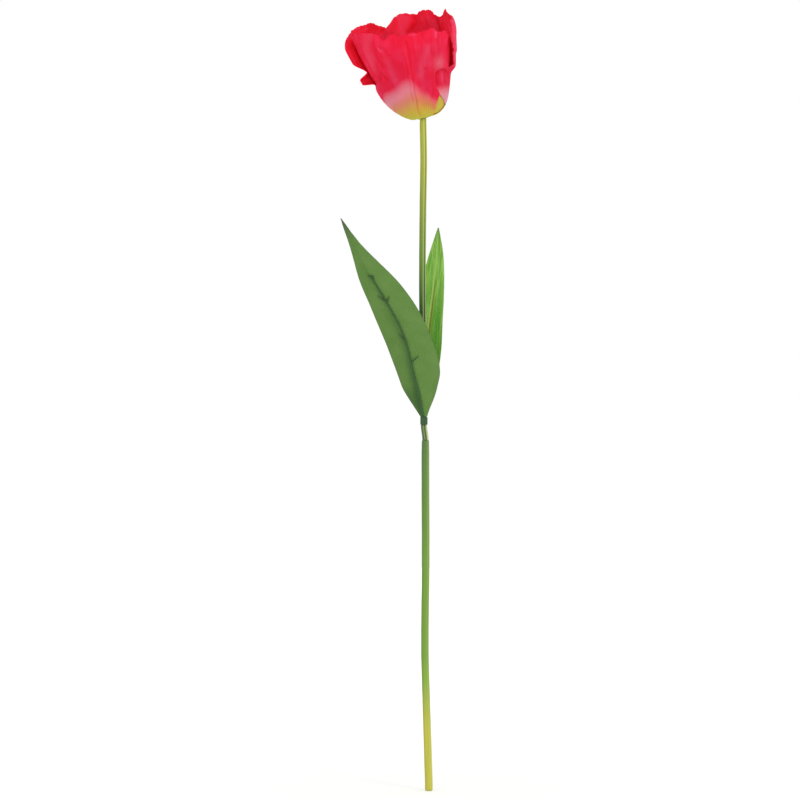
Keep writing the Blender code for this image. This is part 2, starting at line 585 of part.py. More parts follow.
def make_bloom(parts, cutters):
    axis = bpy.data.objects.new("bloom_axis", None)
    parts.objects.link(axis)
    axis.location = BLOOM_BASE
    axis.rotation_euler = (0.0, -math.radians(BLOOM_LEAN), 0.0)

    receptacle = turned("receptacle", [
        (0.0, RECEPTACLE_HEIGHT), (RECEPTACLE_RADIUS - 3 * CHAMFER, RECEPTACLE_HEIGHT),
        (RECEPTACLE_RADIUS, RECEPTACLE_HEIGHT - 3 * CHAMFER), (RECEPTACLE_RADIUS, CLEARANCE + CHAMFER),
        (RECEPTACLE_RADIUS - CHAMFER, CLEARANCE), (0.0, CLEARANCE)], parts)
    peg_hole = turned("peg_hole", [
        (0.0, PEG_LENGTH + CLEARANCE), (PEG_DIAMETER / 2 + CLEARANCE, PEG_LENGTH + CLEARANCE),
        (PEG_DIAMETER / 2 + CLEARANCE, -CUTTER_OVERRUN), (0.0, -CUTTER_OVERRUN)], cutters, 24)
    pin_bottom = RECEPTACLE_HEIGHT + CLEARANCE - PISTIL_PIN_LENGTH
    pin_hole = turned("pistil_hole", [
        (0.0, RECEPTACLE_HEIGHT + CUTTER_OVERRUN),
        (PISTIL_PIN_RADIUS + CLEARANCE, RECEPTACLE_HEIGHT + CUTTER_OVERRUN),
        (PISTIL_PIN_RADIUS + CLEARANCE, pin_bottom - CLEARANCE), (0.0, pin_bottom - CLEARANCE)],
        cutters, 20)
    cut(receptacle, peg_hole)
    cut(receptacle, pin_hole)

    seat = RECEPTACLE_HEIGHT + CLEARANCE
    top = seat + PISTIL_HEIGHT
    body = [(PISTIL_RADIUS * wide, seat + PISTIL_HEIGHT * high) for wide, high in PISTIL_PROFILE]
    pin = [(PISTIL_PIN_RADIUS, seat), (PISTIL_PIN_RADIUS, pin_bottom), (0.0, pin_bottom)]
    pistil = turned("pistil", [(0.0, top), *body, *pin], parts, 16)
    for number in range(3):
        turn = math.radians(90 + 120 * number)
        bm = bmesh.new()
        bmesh.ops.create_uvsphere(bm, u_segments=10, v_segments=6, radius=STIGMA_LOBE_RADIUS)
        bmesh.ops.scale(bm, vec=STIGMA_LOBE_SHAPE, verts=bm.verts)
        lobe = add_mesh(f"stigma_lobe_{number}", bm, cutters)
        lobe.location = (STIGMA_LOBE_RADIUS * math.cos(turn), STIGMA_LOBE_RADIUS * math.sin(turn), top)
        lobe.rotation_euler = (0.0, 0.0, turn)
        lobe.parent = axis
        cut(pistil, lobe, "UNION")

    ring_bore = PISTIL_RADIUS + CLEARANCE
    ring_radius = ring_bore + STAMEN_RING_WALL
    ring = turned("stamens", [
        (ring_bore, seat + STAMEN_RING_HEIGHT), (ring_radius, seat + STAMEN_RING_HEIGHT),
        (ring_radius, seat), (ring_bore, seat), (ring_bore, seat + STAMEN_RING_HEIGHT)], parts, 24)
    for number in range(STAMEN_COUNT):
        turn = 2 * math.pi * (number + 0.5) / STAMEN_COUNT
        out = Vector((math.cos(turn), math.sin(turn), 0.0))
        foot = out * (ring_bore + STAMEN_RING_WALL / 2)
        bend = [foot + Vector((0, 0, seat + STAMEN_RING_HEIGHT / 2)),
                foot + out * FILAMENT_SPREAD * 0.45 + Vector((0, 0, seat + FILAMENT_HEIGHT * 0.5)),
                foot + out * FILAMENT_SPREAD + Vector((0, 0, seat + FILAMENT_HEIGHT))]
        filament = tube(f"filament_{number}", [(p, FILAMENT_RADIUS) for p in bend], cutters, 1)
        filament.parent = axis
        cut(ring, filament, "UNION")
        bm = bmesh.new()
        bmesh.ops.create_uvsphere(bm, u_segments=8, v_segments=6, radius=1.0)
        bmesh.ops.scale(bm, vec=(ANTHER_RADIUS, ANTHER_RADIUS * 0.8, ANTHER_LENGTH / 2), verts=bm.verts)
        anther = add_mesh(f"anther_{number}", bm, cutters)
        anther.location = bend[-1] + Vector((0, 0, ANTHER_LENGTH * 0.3))
        anther.rotation_euler = (0.0, 0.0, turn)
        anther.parent = axis
        cut(ring, anther, "UNION")

    petals = [grid_sheet(name, PETAL_CELLS, lambda u, v, s=spec: petal_surface(s, u, v),
                         PETAL_THICKNESS, parts) for name, spec in PETALS.items()]
    for piece in (receptacle, peg_hole, pin_hole, pistil, ring, *petals):
        piece.parent = axis
    return receptacle, pistil, ring, petals


def main():
    clear_scene()
    parts = new_collection("artificial_tulip")
    cutters = new_collection("cutters", hidden=True)
    stem_plastic = material("stem_plastic", (0.10, 0.25, 0.04), 0.42)
    upper_plastic = material("upper_stem_plastic", (0.22, 0.30, 0.06), 0.40)
    rib_plastic = material("rib_plastic", (0.05, 0.13, 0.05), 0.50)
    leaf_fabric = material("leaf_fabric", (0.13, 0.26, 0.06), 0.70)
    petal_fabric = material("petal_fabric", (0.78, 0.02, 0.05), 0.60)
    receptacle_plastic = material("receptacle_plastic", (0.45, 0.50, 0.10), 0.50)
    stamen_plastic = material("stamen_plastic", (0.05, 0.04, 0.02), 0.60)
    steel = metal("steel_wire", (0.45, 0.45, 0.45), 0.35)

    lower, lower_wire = make_lower_stem(parts, cutters)
    upper, upper_wire = make_upper_stem(parts, cutters)
    collar = make_collar(parts, cutters)
    large_rib = (LARGE_RIB_RADIUS, LARGE_RIB_TIP_RADIUS, LARGE_RIB_SHARE)
    small_rib = (SMALL_RIB_RADIUS, SMALL_RIB_TIP_RADIUS, SMALL_RIB_SHARE)
    large = make_leaf("large_leaf", LARGE_LEAF, LARGE_LEAF_AZIMUTH, large_rib, LARGE_BARBS, parts, cutters)
    small = make_leaf("small_leaf", SMALL_LEAF, SMALL_LEAF_AZIMUTH, small_rib, (), parts, cutters)
    receptacle, pistil, stamens, petals = make_bloom(parts, cutters)

    finishes = [(lower, stem_plastic), (upper, upper_plastic), (lower_wire, steel), (upper_wire, steel),
                (collar, rib_plastic), (large[0], leaf_fabric), (large[1], rib_plastic),
                (small[0], leaf_fabric), (small[1], rib_plastic), (receptacle, receptacle_plastic),
                (pistil, receptacle_plastic), (stamens, stamen_plastic)]
    finishes += [(petal, petal_fabric) for petal in petals]
    for obj, finish in finishes:
        obj.data.materials.append(finish)
    print("large leaf hinge", [round(float(v), 6) for v in large[2]])
    print("small leaf hinge", [round(float(v), 6) for v in small[2]])
    print("bloom base", [round(v, 6) for v in BLOOM_BASE], "axis", [round(v, 6) for v in BLOOM_AXIS])
    print("collar", round(COLLAR_X, 6), round(COLLAR_Z, 6), "plug", round(PLUG_X, 6), round(NECK_Z, 6))


main()
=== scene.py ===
import json
import math

import bpy
import numpy as np
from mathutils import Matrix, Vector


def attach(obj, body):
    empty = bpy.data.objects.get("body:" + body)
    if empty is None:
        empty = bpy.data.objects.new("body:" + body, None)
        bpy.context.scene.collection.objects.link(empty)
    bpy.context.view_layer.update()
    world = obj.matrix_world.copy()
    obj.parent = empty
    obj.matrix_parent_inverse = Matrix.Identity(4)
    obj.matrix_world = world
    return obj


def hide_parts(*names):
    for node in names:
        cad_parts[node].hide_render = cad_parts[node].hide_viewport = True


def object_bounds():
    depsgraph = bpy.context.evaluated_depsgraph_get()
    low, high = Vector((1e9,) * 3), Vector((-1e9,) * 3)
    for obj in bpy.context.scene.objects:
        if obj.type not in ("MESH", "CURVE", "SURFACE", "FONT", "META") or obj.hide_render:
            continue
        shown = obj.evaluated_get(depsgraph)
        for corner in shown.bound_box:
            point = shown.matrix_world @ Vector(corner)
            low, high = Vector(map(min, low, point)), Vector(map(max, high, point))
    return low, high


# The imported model, and the places that its joints give
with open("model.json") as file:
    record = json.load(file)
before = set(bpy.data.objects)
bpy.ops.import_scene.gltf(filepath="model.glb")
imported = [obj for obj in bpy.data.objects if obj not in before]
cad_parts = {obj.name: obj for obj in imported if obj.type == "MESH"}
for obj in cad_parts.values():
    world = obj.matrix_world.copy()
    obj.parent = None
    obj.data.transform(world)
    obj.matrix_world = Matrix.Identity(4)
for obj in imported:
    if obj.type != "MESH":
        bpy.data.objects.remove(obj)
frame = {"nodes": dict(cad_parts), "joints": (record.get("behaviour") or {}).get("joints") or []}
cad_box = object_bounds()
joints = {joint["name"]: joint for joint in frame["joints"]}

# Sizes shared with the solids, in metres
CLEARANCE = 0.0003
CHAMFER = 0.0004
LOWER_STEM_LENGTH = 0.2960
LOWER_STEM_DIAMETER = 0.0066
FOOT_ROUNDING = 0.0012
FOOT_WALL = 0.0060
MOUTH_DIAMETER = 0.0060
MOUTH_TAPER_LENGTH = 0.0130
LOWER_WIRE_DIAMETER = 0.0022
LOWER_SWAY = ((0.0, 0.0), (0.24, -0.0019), (0.45, -0.0033), (0.72, -0.0027), (1.0, -0.0029))
SPIGOT_DIAMETER = 0.0040
SPIGOT_LENGTH = 0.0320
SOCKET_RELIEF = 0.0015
NECK_DIAMETER = 0.0053
NECK_LENGTH = 0.0125
NECK_LEAN = -0.0013
GROOVE_DIAMETER = 0.0044
LEAF_SEAT_LENGTH = 0.0055
UPPER_STEM_DIAMETER = 0.00575
UPPER_STEM_LENGTH = 0.2460
UPPER_WIRE_DIAMETER = 0.0016
PEG_DIAMETER = 0.0036
PEG_LENGTH = 0.0060
PEG_END_WALL = 0.0010
UPPER_SWAY = ((0.0, 0.0), (0.38, -0.0012), (0.65, -0.0009), (0.86, -0.0002), (1.0, -0.0008))
COLLAR_LENGTH = 0.0065
COLLAR_WALL = 0.0006
LUG_WIDTH = 0.0024
LUG_FOOT_RADIUS = 0.0008
LARGE_LEAF_AZIMUTH = -100.0
SMALL_LEAF_AZIMUTH = 78.0
LEAF_THICKNESS = 0.0005
PETAL_THICKNESS = 0.0006

# What moulding leaves on the stems: rounded edges, and two parting lines by their angle, height and
# half width in degrees, on a wall that swells in two waves, in radians a metre. Bores and the spigot
# are plain
EDGE_ROUNDING = 0.0002
PARTING_ANGLE = 62.0
PARTING_LINE = 0.00005
PARTING_LINE_TURN = 4.0
WALL_SWELL = 0.00004
SWELL_WAVES = (210.0, 67.0)
PLAIN_RADIUS = 0.0022
STEM_FACETS = 56
# How far the painted highlight line and the painted shade of the stem's sides turn to the left at the neck,
# as a share of the stem's radius
NECK_PAINTED_LIGHT_SHIFT = 0.40
# The collar's outside as height and inset
COLLAR_PROFILE = ((0.0, 0.0002), (0.0002, 0.0), (0.0012, 0.0), (0.0025, 0.0), (0.0040, 0.0), (0.0055, 0.0),
                  (0.0063, 0.0), (0.0065, 0.0002))
COLLAR_FACETS = 160

# Places that follow from them
SOCKET_BOTTOM_Z = LOWER_STEM_LENGTH - SPIGOT_LENGTH - SOCKET_RELIEF
PLUG_X = LOWER_SWAY[-1][1]
NECK_Z = LOWER_STEM_LENGTH + CLEARANCE
GROOVE_Z = NECK_Z + NECK_LENGTH
COLLAR_X = PLUG_X + NECK_LEAN
COLLAR_Z = GROOVE_Z + CLEARANCE
COLLAR_TOP_Z = COLLAR_Z + COLLAR_LENGTH
COLLAR_BORE_RADIUS = GROOVE_DIAMETER / 2 + CLEARANCE
UPPER_Z = GROOVE_Z + COLLAR_LENGTH + 2 * CLEARANCE + LEAF_SEAT_LENGTH
BLADE_RADIUS = COLLAR_BORE_RADIUS + LEAF_THICKNESS / 2 + 0.0001
BLOOM_BASE = np.array(joints["bloom_turn"]["pos_m"])
BLOOM_AXIS = np.array(joints["bloom_turn"]["axis"])
UPWARDS = np.array([0.0, 0.0, 1.0])
SIDEWAYS = np.array([1.0, 0.0, 0.0])

# Leaf stations: share of the midrib, side, outward and height of the midrib, left and right half
# widths, the angle through which each margin is bent back, and the fold of the left half at the rib
LARGE_LEAF = (
    (0.000, 0.0000, 0.0000, 0.0000, 0.0034, 0.0034, 72.0, 0.0),
    (0.105, -0.0028, 0.0034, 0.0188, 0.0158, 0.0170, 62.0, 18.0),
    (0.200, -0.0066, 0.0068, 0.0352, 0.0170, 0.0233, 40.0, 26.0),
    (0.390, -0.0141, 0.0135, 0.0685, 0.0190, 0.0208, 24.0, 22.0),
    (0.560, -0.0279, 0.0190, 0.0970, 0.0152, 0.0184, 18.0, 16.0),
    (0.700, -0.0405, 0.0230, 0.1186, 0.0108, 0.0132, 16.0, 8.0),
    (0.860, -0.0533, 0.0255, 0.1440, 0.0045, 0.0044, 14.0, 4.0),
    (1.000, -0.0647, 0.0262, 0.1660, 0.0002, 0.0002, 10.0, 0.0),
)
SMALL_LEAF = (
    (0.000, 0.0000, 0.0000, 0.0000, 0.0032, 0.0032, 72.0, 0.0),
    (0.120, 0.0000, 0.0034, 0.0190, 0.0100, 0.0100, 55.0, 0.0),
    (0.300, -0.0005, 0.0085, 0.0470, 0.0138, 0.0138, 35.0, 0.0),
    (0.440, -0.0002, 0.0122, 0.0700, 0.0118, 0.0140, 28.0, 0.0),
    (0.580, 0.0022, 0.0150, 0.0925, 0.0082, 0.0116, 24.0, 0.0),
    (0.720, 0.0045, 0.0170, 0.1150, 0.0096, 0.0096, 22.0, 0.0),
    (0.880, 0.0067, 0.0182, 0.1410, 0.0056, 0.0056, 18.0, 0.0),
    (1.000, 0.0078, 0.0190, 0.1606, 0.0002, 0.0002, 12.0, 0.0),
)
# Each rib: radius at its foot and at its tip, and the share of the leaf that it runs up
LARGE_RIB = (0.0010, 0.0005, 0.70)
SMALL_RIB = (0.0009, 0.00045, 0.55)
RIB_START = 0.03
RIB_RINGS = 70
# Barbs of the large rib: share up the leaf, degrees off the rib (right above 0) and length
LARGE_BARBS = (
    (0.26, -60.0, 0.0085), (0.36, 26.0, 0.0095), (0.555, -50.0, 0.0055), (0.555, 24.0, 0.0088),
    (0.672, -24.0, 0.0046), (0.684, 22.0, 0.0044),
)
BARB_RADIUS = 0.00055
LEAF_ROWS = 240
LEAF_COLUMNS = 41
# Veins pressed along half a leaf, their depth, and how far its margins waver
LEAF_VEINS = 9
LEAF_VEIN_DEPTH = 0.00006
LEAF_WAVER = 0.0006
# How much painted shade lies up the leaf, as shares of its length and amounts: beside the large leaf's rib
# where its left half folds back, and as painted fold shadow in the small leaf's wedge; and how much
# darker the small leaf's right half is
RIB_SHADE = ((0.0, 1.0), (0.06, 1.0), (0.14, 0.8), (0.25, 0.5), (0.40, 0.35), (0.60, 0.3), (0.75, 0.2),
             (0.90, 0.0))
WEDGE_SHADE = ((0.34, 0.0), (0.42, 1.0), (0.60, 1.0), (0.69, 0.7), (0.74, 0.0))
RIGHT_HALF_SHADE = ((0.0, 1.0), (0.40, 1.0), (0.62, 0.8), (0.72, 0.0))

# The bloom's cup as radius and height, up its outside
CUP = (
    (0.0040, 0.0012), (0.0090, 0.0005), (0.0130, 0.0010), (0.0175, 0.0033), (0.0215, 0.0070),
    (0.0248, 0.0122), (0.0278, 0.0200), (0.0312, 0.0310), (0.0345, 0.0440), (0.0368, 0.0560),
    (0.0384, 0.0680), (0.0380, 0.0800), (0.0355, 0.0930), (0.0345, 0.0965),
)
FOOT_RADIUS = 0.0045 + CLEARANCE
# The step inwards from petal to petal, and the radius at which angles are turned into widths of cloth
PETAL_LAYER = 0.0013
MEAN_RADIUS = 0.034
PETAL_ROWS = 220
PETAL_COLUMNS = 150
# How far the cup's left side leans open for each metre of height, and where across it that begins
LEFT_OPENING = 0.145
LEFT_OPENING_START = 0.008
LEFT_OPENING_ACROSS = (0.012, 0.020)
# Ruffles by their depth and waves round the bloom, growing towards the top edge
RUFFLE_START = 0.050
RUFFLE_RISE = 0.060
WIDE_RUFFLE = 0.0012
WIDE_RUFFLE_WAVES = 5
FINE_RUFFLE = 0.0008
FINE_RUFFLE_WAVES = 13
FINE_RUFFLE_TWIST = 90.0
# Shares of the way up a petal and across its half at which its roll and its side's flare begin
ROLL_START = 0.75
FLARE_START = 0.62
# Below this share of a petal its rows are level, and they are closer where the outline turns quickly
EVEN_ROWS = 0.64
ROW_CLOSENESS = 0.0004
# Lobes of a flared side: lowest and highest place, the heights over which they rise and fall, and size
LOW_SIDE_LOBES = ((0.0315, 0.0980, 0.0080, 0.0300, 0.78), (0.0400, 0.0980, 0.0120, 0.0300, 0.95),
                  (0.0500, 0.0980, 0.0160, 0.0300, 1.0))
# Angles across the low side's flare: where it starts, is full, and ends below the petal in front
LOW_FLARE_ANGLES = (8.0, -14.0, -16.0, -23.0)
HIGH_SIDE_LOBES = ((0.0465, 0.0900, 0.0120, 0.0220, 1.0), (0.0358, 0.0474, 0.0040, 0.0040, 1.2))
# Scallops and the finer fringe of a top edge
SCALLOP_COUNT = 8
SCALLOP_DEPTH = 0.0008
FRINGE_COUNT = 31
FRINGE_DEPTH = 0.0006
# Teeth of the side margins as a share of the petal's width, with their radians for each metre up it,
# and veins pressed up a petal, with their radians for each one round the bloom
TOOTH_DEPTH = 0.010
TOOTH_WAVES = 620
PETAL_VEINS = 74
PETAL_VEIN_DEPTH = 0.00007
# Each petal: layer, roll, flares of its low and high sides, top edge as shares across and heights,
# and outline as height and the angles of its low and high edges
PETALS = {
    "petal_front": (0, 0.0025, (0.0, 0.0), (
        (-1.0, 0.0760), (-0.92, 0.0738), (-0.85, 0.0696), (-0.78, 0.0690), (-0.70, 0.0716),
        (-0.6, 0.0714), (-0.4, 0.0692), (-0.2, 0.0697), (0.0, 0.0691),
        (0.2, 0.0696), (0.4, 0.0706), (0.6, 0.0668), (0.8, 0.0677), (1.0, 0.0640)), (
        (0.000, -140.0, -50.0), (0.009, -158.0, -54.0), (0.0166, -171.0, -49.0), (0.022, -176.0, -56.0),
        (0.029, -171.0, -59.0), (0.0345, -158.0, -56.0), (0.0365, -143.0, -46.0), (0.0378, -138.0, -26.0),
        (0.0402, -136.0, -26.0), (0.0435, -134.8, -31.0), (0.048, -133.0, -34.0), (0.055, -131.0, -34.5),
        (0.062, -128.0, -31.5), (0.066, -126.5, -30.0), (0.078, -121.5, -31.0), (0.090, -120.0, -33.0))),
    "petal_right": (1, 0.0010, (0.0061, 0.0), (
        (-1.0, 0.0768), (-0.86, 0.0800), (-0.745, 0.0826), (-0.70, 0.0856), (-0.65, 0.0880),
        (-0.52, 0.0880), (-0.40, 0.0872), (-0.28, 0.0848), (-0.18, 0.0840), (-0.07, 0.0864), (0.08, 0.0884),
        (0.4, 0.0868), (0.8, 0.0828), (1.0, 0.0775)), (
        (0.000, 3.0, 84.0), (0.0058, 3.0, 87.0), (0.0073, 1.0, 88.0), (0.0085, -19.0, 89.0),
        (0.0128, -36.0, 90.0),
        (0.0166, -49.0, 92.0), (0.022, -62.0, 93.0), (0.030, -64.0, 96.0), (0.0345, -56.0, 97.0),
        (0.037, -34.0, 98.0), (0.0385, -19.0, 99.0), (0.046, -19.5, 100.0), (0.060, -19.7, 100.0),
        (0.072, -19.5, 99.0), (0.090, -15.0, 96.0))),
    "petal_left": (2, 0.0006, (0.0, 0.0078), (
        (-1.0, 0.0742), (-0.8, 0.0763), (-0.6, 0.0786), (-0.4, 0.0824), (-0.2, 0.0884), (0.0, 0.0920),
        (0.2, 0.0904), (0.4, 0.0877), (0.6, 0.0850), (0.8, 0.0834), (1.0, 0.0762)), (
        (0.000, 92.0, 170.0), (0.020, 82.0, 178.0), (0.036, 78.0, 186.0), (0.050, 76.0, 186.0),
        (0.090, 78.0, 184.0))),
    "petal_inner_left": (3, 0.0, (0.0, 0.0), (
        (-1.0, 0.0700), (-0.7, 0.0780), (-0.4, 0.0800), (-0.2, 0.0815), (0.0, 0.0822), (0.2, 0.0799),
        (0.4, 0.0794), (0.6, 0.0771), (0.8, 0.0688), (1.0, 0.0588)), (
        (0.000, 164.0, 250.0), (0.020, 154.0, 262.0), (0.050, 150.0, 262.0), (0.090, 150.0, 242.0))),
    "petal_inner_back": (3, 0.0, (0.0, 0.0), (
        (-1.0, 0.0905), (-0.8, 0.0934), (-0.6, 0.0944), (-0.4, 0.0937), (-0.2, 0.0921), (0.0, 0.0938),
        (0.2, 0.0955), (0.4, 0.0952), (0.6, 0.0934), (0.8, 0.0889), (1.0, 0.0800)), (
        (0.000, 44.0, 128.0), (0.020, 32.0, 140.0), (0.060, 30.0, 136.0), (0.092, 34.0, 118.0))),
    "petal_inner_right": (1.9, 0.0, (0.0, 0.0), (
        (-1.0, 0.0560), (-0.6, 0.0617), (0.0, 0.0640), (0.6, 0.0630), (1.0, 0.0580)), (
        (0.000, -74.0, 8.0), (0.020, -88.0, 22.0), (0.050, -90.0, 26.0), (0.090, -84.0, 24.0))),
}
# The lobe of the front petal over the right-hand bay: how far its lower edge droops, the angles
# between which it starts and is full, and the heights over which it fades out
FRONT_LOBE_DROOP = (0.0048, -45.0, -20.0, 0.040, 0.056)
# Pressed folds on a petal, and strokes of painted shade and painted highlight along them: points as angle
# and height, depth inwards, half width, and how much painted shade, or below 0 painted highlight, lies
# along it
FOLDS_AND_PAINTED_LIGHT = {
    "petal_front": (
        (((-98.1, 0.0503), (-98.8, 0.0397), (-100.5, 0.0286), (-103.0, 0.0214), (-102.3, 0.0149)),
         0.00022, 0.0008, 0.38),
        (((-92.0, 0.063), (-92.3, 0.0542), (-93.3, 0.0464), (-93.4, 0.0365), (-94.7, 0.0277), (-96.2, 0.0203),
          (-96.4, 0.0143), (-97.6, 0.008), (-97.7, 0.0028)), 0.00028, 0.0010, 0.6),
        (((-99.0, 0.0361), (-97.8, 0.0281), (-99.4, 0.021), (-99.0, 0.0144)), -0.00020, 0.0006, -0.6),
        (((-133.5, 0.0434), (-132.5, 0.0398), (-131.0, 0.0367)), 0.00028, 0.0010, 0.75),
        (((-127.0, 0.0636), (-130.1, 0.0549), (-127.5, 0.0483)), 0.00022, 0.0010, 0.45),
        (((-122.0, 0.0639), (-119.8, 0.0614), (-118.4, 0.0588)), 0.00022, 0.0008, 0.38),
        (((-108.4, 0.0676), (-107.7, 0.0641), (-106.2, 0.0615)), 0.00016, 0.0010, 0.3),
        (((-72.3, 0.0687), (-72.5, 0.0644), (-65.6, 0.0598)), 0.00028, 0.0010, 0.38),
        (((-59.7, 0.0671), (-61.0, 0.0626), (-61.9, 0.0511)), 0.00022, 0.0010, 0.26),
        (((-51.4, 0.0636), (-48.2, 0.0526), (-53.1, 0.044)), 0.00022, 0.0012, 0.3),
        (((-74.2, 0.0394), (-72.4, 0.038)), 0.00016, 0.0007, 0.52),
        (((-94.5, 0.0646), (-101.0, 0.0554), (-103.7, 0.0443)), 0.00000, 0.0045, 0.22),
        (((-123.9, 0.0637), (-123.6, 0.0616), (-123.0, 0.0599)), -0.00030, 0.0005, -0.7),
        (((-87.9, 0.0677), (-84.1, 0.0675), (-79.6, 0.0672)), -0.00030, 0.0005, -0.5),
        (((-54.7, 0.0665), (-54.4, 0.0628)), -0.00030, 0.0006, -0.9),
        (((-62.3, 0.0568), (-73.8, 0.0458), (-82.7, 0.0334)), 0.00000, 0.0035, -0.35),
        (((-122.0, 0.0523), (-119.7, 0.0431), (-119.7, 0.0345)), 0.00000, 0.0030, -0.2),
    ),
    "petal_right": (
        (((-54.1, 0.0346), (-55.9, 0.0304), (-52.9, 0.0245)), 0.0001, 0.0022, 0.8),
        (((-53.3, 0.0349), (-44.3, 0.036), (-32.8, 0.0332), (-19.9, 0.0295)), 0.0, 0.0020, 0.35),
        (((-32.3, 0.027), (-27.4, 0.0235)), 0.0, 0.0018, 0.5),
        (((-41.9, 0.032), (-40.8, 0.0273)), 0.0, 0.0018, -0.5),
        (((-15.0, 0.0740), (-15.0, 0.0635), (-15.0, 0.0516), (-15.0, 0.0419)), 0.0, 0.0050, -0.6),
    ),
    "petal_left": (
        (((128.5, 0.088), (120.6, 0.0856), (115.5, 0.081), (117.6, 0.0766)), 0.0, 0.0060, 0.8),
        (((137.1, 0.086), (134.2, 0.0877)), 0.0003, 0.0006, -1.0),
        (((164.4, 0.0785), (167.6, 0.0692), (167.2, 0.0597)), 0.0, 0.0040, 0.3),
    ),
    "petal_inner_left": (
        (((225.0, 0.0756), (220.6, 0.0693), (214.8, 0.0587), (210.4, 0.0481)), 0.0, 0.0040, -0.4),
    ),
    "petal_inner_back": (
        (((71.2, 0.0930), (71.2, 0.086), (79.0, 0.0806), (83.4, 0.0785)), -0.0011, 0.0024, 0.8),
        (((84.0, 0.0885), (92.0, 0.085), (94.0, 0.078)), 0.0010, 0.0055, -0.4),
        (((47.0, 0.0919), (50.4, 0.0852), (59.3, 0.0783)), 0.0006, 0.0050, -0.1),
    ),
}
# Where the full red of a petal begins, as angles and heights, and the same for a petal not named
RED_STARTS = {
    "petal_front": ((-180, 0.0220), (-163, 0.0230), (-150, 0.0250), (-132, 0.0275), (-117, 0.0295),
                    (-111, 0.0310), (-102, 0.0320), (-95, 0.0310), (-83, 0.0240), (-72, 0.0185),
                    (-65, 0.0150), (-50, 0.0140)),
    "petal_inner_right": ((-90, 0.0600), (30, 0.0600)),
}
PLAIN_RED_START = ((-180, 0.0240), (270, 0.0240))
# How far that edge of the red wavers
RED_WAVER = 0.0008
# The height at which the inner right petal turns red, and over how much it does
INNER_RIGHT_RED = (0.0190, 0.0060)
# How pale a petal is at each share of the way up its dye, and the front petal's at each angle
PALE_BAND = ((0.20, 0.0), (0.50, 0.30), (0.72, 0.80), (0.90, 0.55), (1.06, 0.0))
FRONT_PALENESS = ((-180, 0.9), (-165, 1.0), (-140, 0.8), (-120, 0.8), (-100, 0.7), (-95, 0.5), (-88, 0.15),
                  (-80, 0.0))
# The pale patch on the front petal's lobe: its angle and height, its half widths, and how pale it is
LOBE_PATCH = (-49.0, 0.0415, 10.0, 0.0055, 0.3)
# The right petal's pale foot: where it ends and over how much, then where it begins
RIGHT_PALE_FOOT = (0.0235, 0.0120, 0.0070, 0.0020)

# The photograph's frame: 800 pixels across, and what one pixel and the object's own pixels measure
PHOTO_SIZE = 800
PIXEL = 0.000845
ORIGIN_PIXEL = (428.9, 790.5)
CAMERA_DISTANCE = 3.0
SENSOR_WIDTH = 36.0
# The surround's strength as light, and the floor's own white close to the flower and far from it
WORLD_LIGHT = 0.74
FLOOR_GLOW = (0.25, 0.6)
FLOOR_HALF_WIDTH = 4.0
LAMPS_FACE_HEIGHT = 0.36
# Threads of 0.15 to 0.2 mm are too fine to show, and are drawn this far apart
THREAD_SPACING = 0.0004
# What a ramp's grey of 0.5 is as a linear value
PLAIN_GREY = 0.214


def linear(code):
    """The linear colour that a shader reads, from a hex colour as sRGB."""
    parts = np.array([int(code[k:k + 2], 16) for k in (1, 3, 5)]) / 255
    values = np.where(parts <= 0.04045, parts / 12.92, ((parts + 0.055) / 1.055) ** 2.4)
    return (*(float(value) for value in values), 1.0)


def add(tree, kind, inputs=None, stops=None, out=0, **settings):
    """Adds a shader node with its settings and gives one of its outputs. An input given as a socket is
    linked, and others are set."""
    node = tree.nodes.new("ShaderNode" + kind)
    for name, value in settings.items():
        setattr(node, name, value)
    for key, value in (inputs or {}).items():
        if isinstance(value, bpy.types.NodeSocket):
            tree.links.new(value, node.inputs[key])
        else:
            node.inputs[key].default_value = value
    for place, colour in stops or ():
        first = place == stops[0][0]
        stop = node.color_ramp.elements[0] if first else node.color_ramp.elements.new(place)
        stop.position = place
        stop.color = linear(colour)
    if stops:
        node.color_ramp.elements.remove(node.color_ramp.elements[-1])
    return node.outputs[out] if node.outputs else None


def new_material(name, constants):
    """A material whose Principled shader holds the constants. Gives it and its node tree."""
    material = bpy.data.materials.new(name)
    material.use_nodes = True
    for key, value in constants.items():
        material.node_tree.nodes["Principled BSDF"].inputs[key].default_value = value
    return material, material.node_tree


def finished(material, surface):
    """Links what a material works out to the inputs of its shader, and gives the material."""
    tree = material.node_tree
    for key, socket in surface.items():
        tree.links.new(socket, tree.nodes["Principled BSDF"].inputs[key])
    return material


def smooth_curve(points, count):
    """A Catmull-Rom curve through the points, read at even steps of its length."""
    known = np.array(points, float)
    padded = np.vstack([2 * known[0] - known[1], known, 2 * known[-1] - known[-2]])
    t = np.linspace(0.0, 1.0, 24, endpoint=False)[:, None]
    rows = [
        0.5 * (2 * start + (end - before) * t + (2 * before - 5 * start + 4 * end - after) * t**2
               + (3 * start - before - 3 * end + after) * t**3)
        for before, start, end, after in zip(padded, padded[1:], padded[2:], padded[3:])
    ]
    dense = np.vstack([*rows, known[-1:]])
    along = lengths_along(dense)
    steps = np.linspace(0.0, along[-1], count)
    return np.column_stack([np.interp(steps, along, dense[:, k]) for k in range(known.shape[1])])


def lengths_along(points):
    """Distance from the first point to each one, along the line through them."""
    return np.concatenate([[0.0], np.cumsum(np.linalg.norm(np.diff(points, axis=0), axis=1))])


def ease(value):
    """0 up to 0 and 1 from 1, with a smooth S between them."""
    clipped = np.clip(value, 0.0, 1.0)
    return clipped * clipped * (3 - 2 * clipped)


def unit(vectors):
    """Each vector divided by its length."""
    return vectors / np.linalg.norm(vectors, axis=-1, keepdims=True)


def read_table(table, values):
    """Reads pairs of a place and an amount at the values, in straight lines between the places."""
    places, amounts = np.array(table).T
    return np.interp(values, places, amounts)


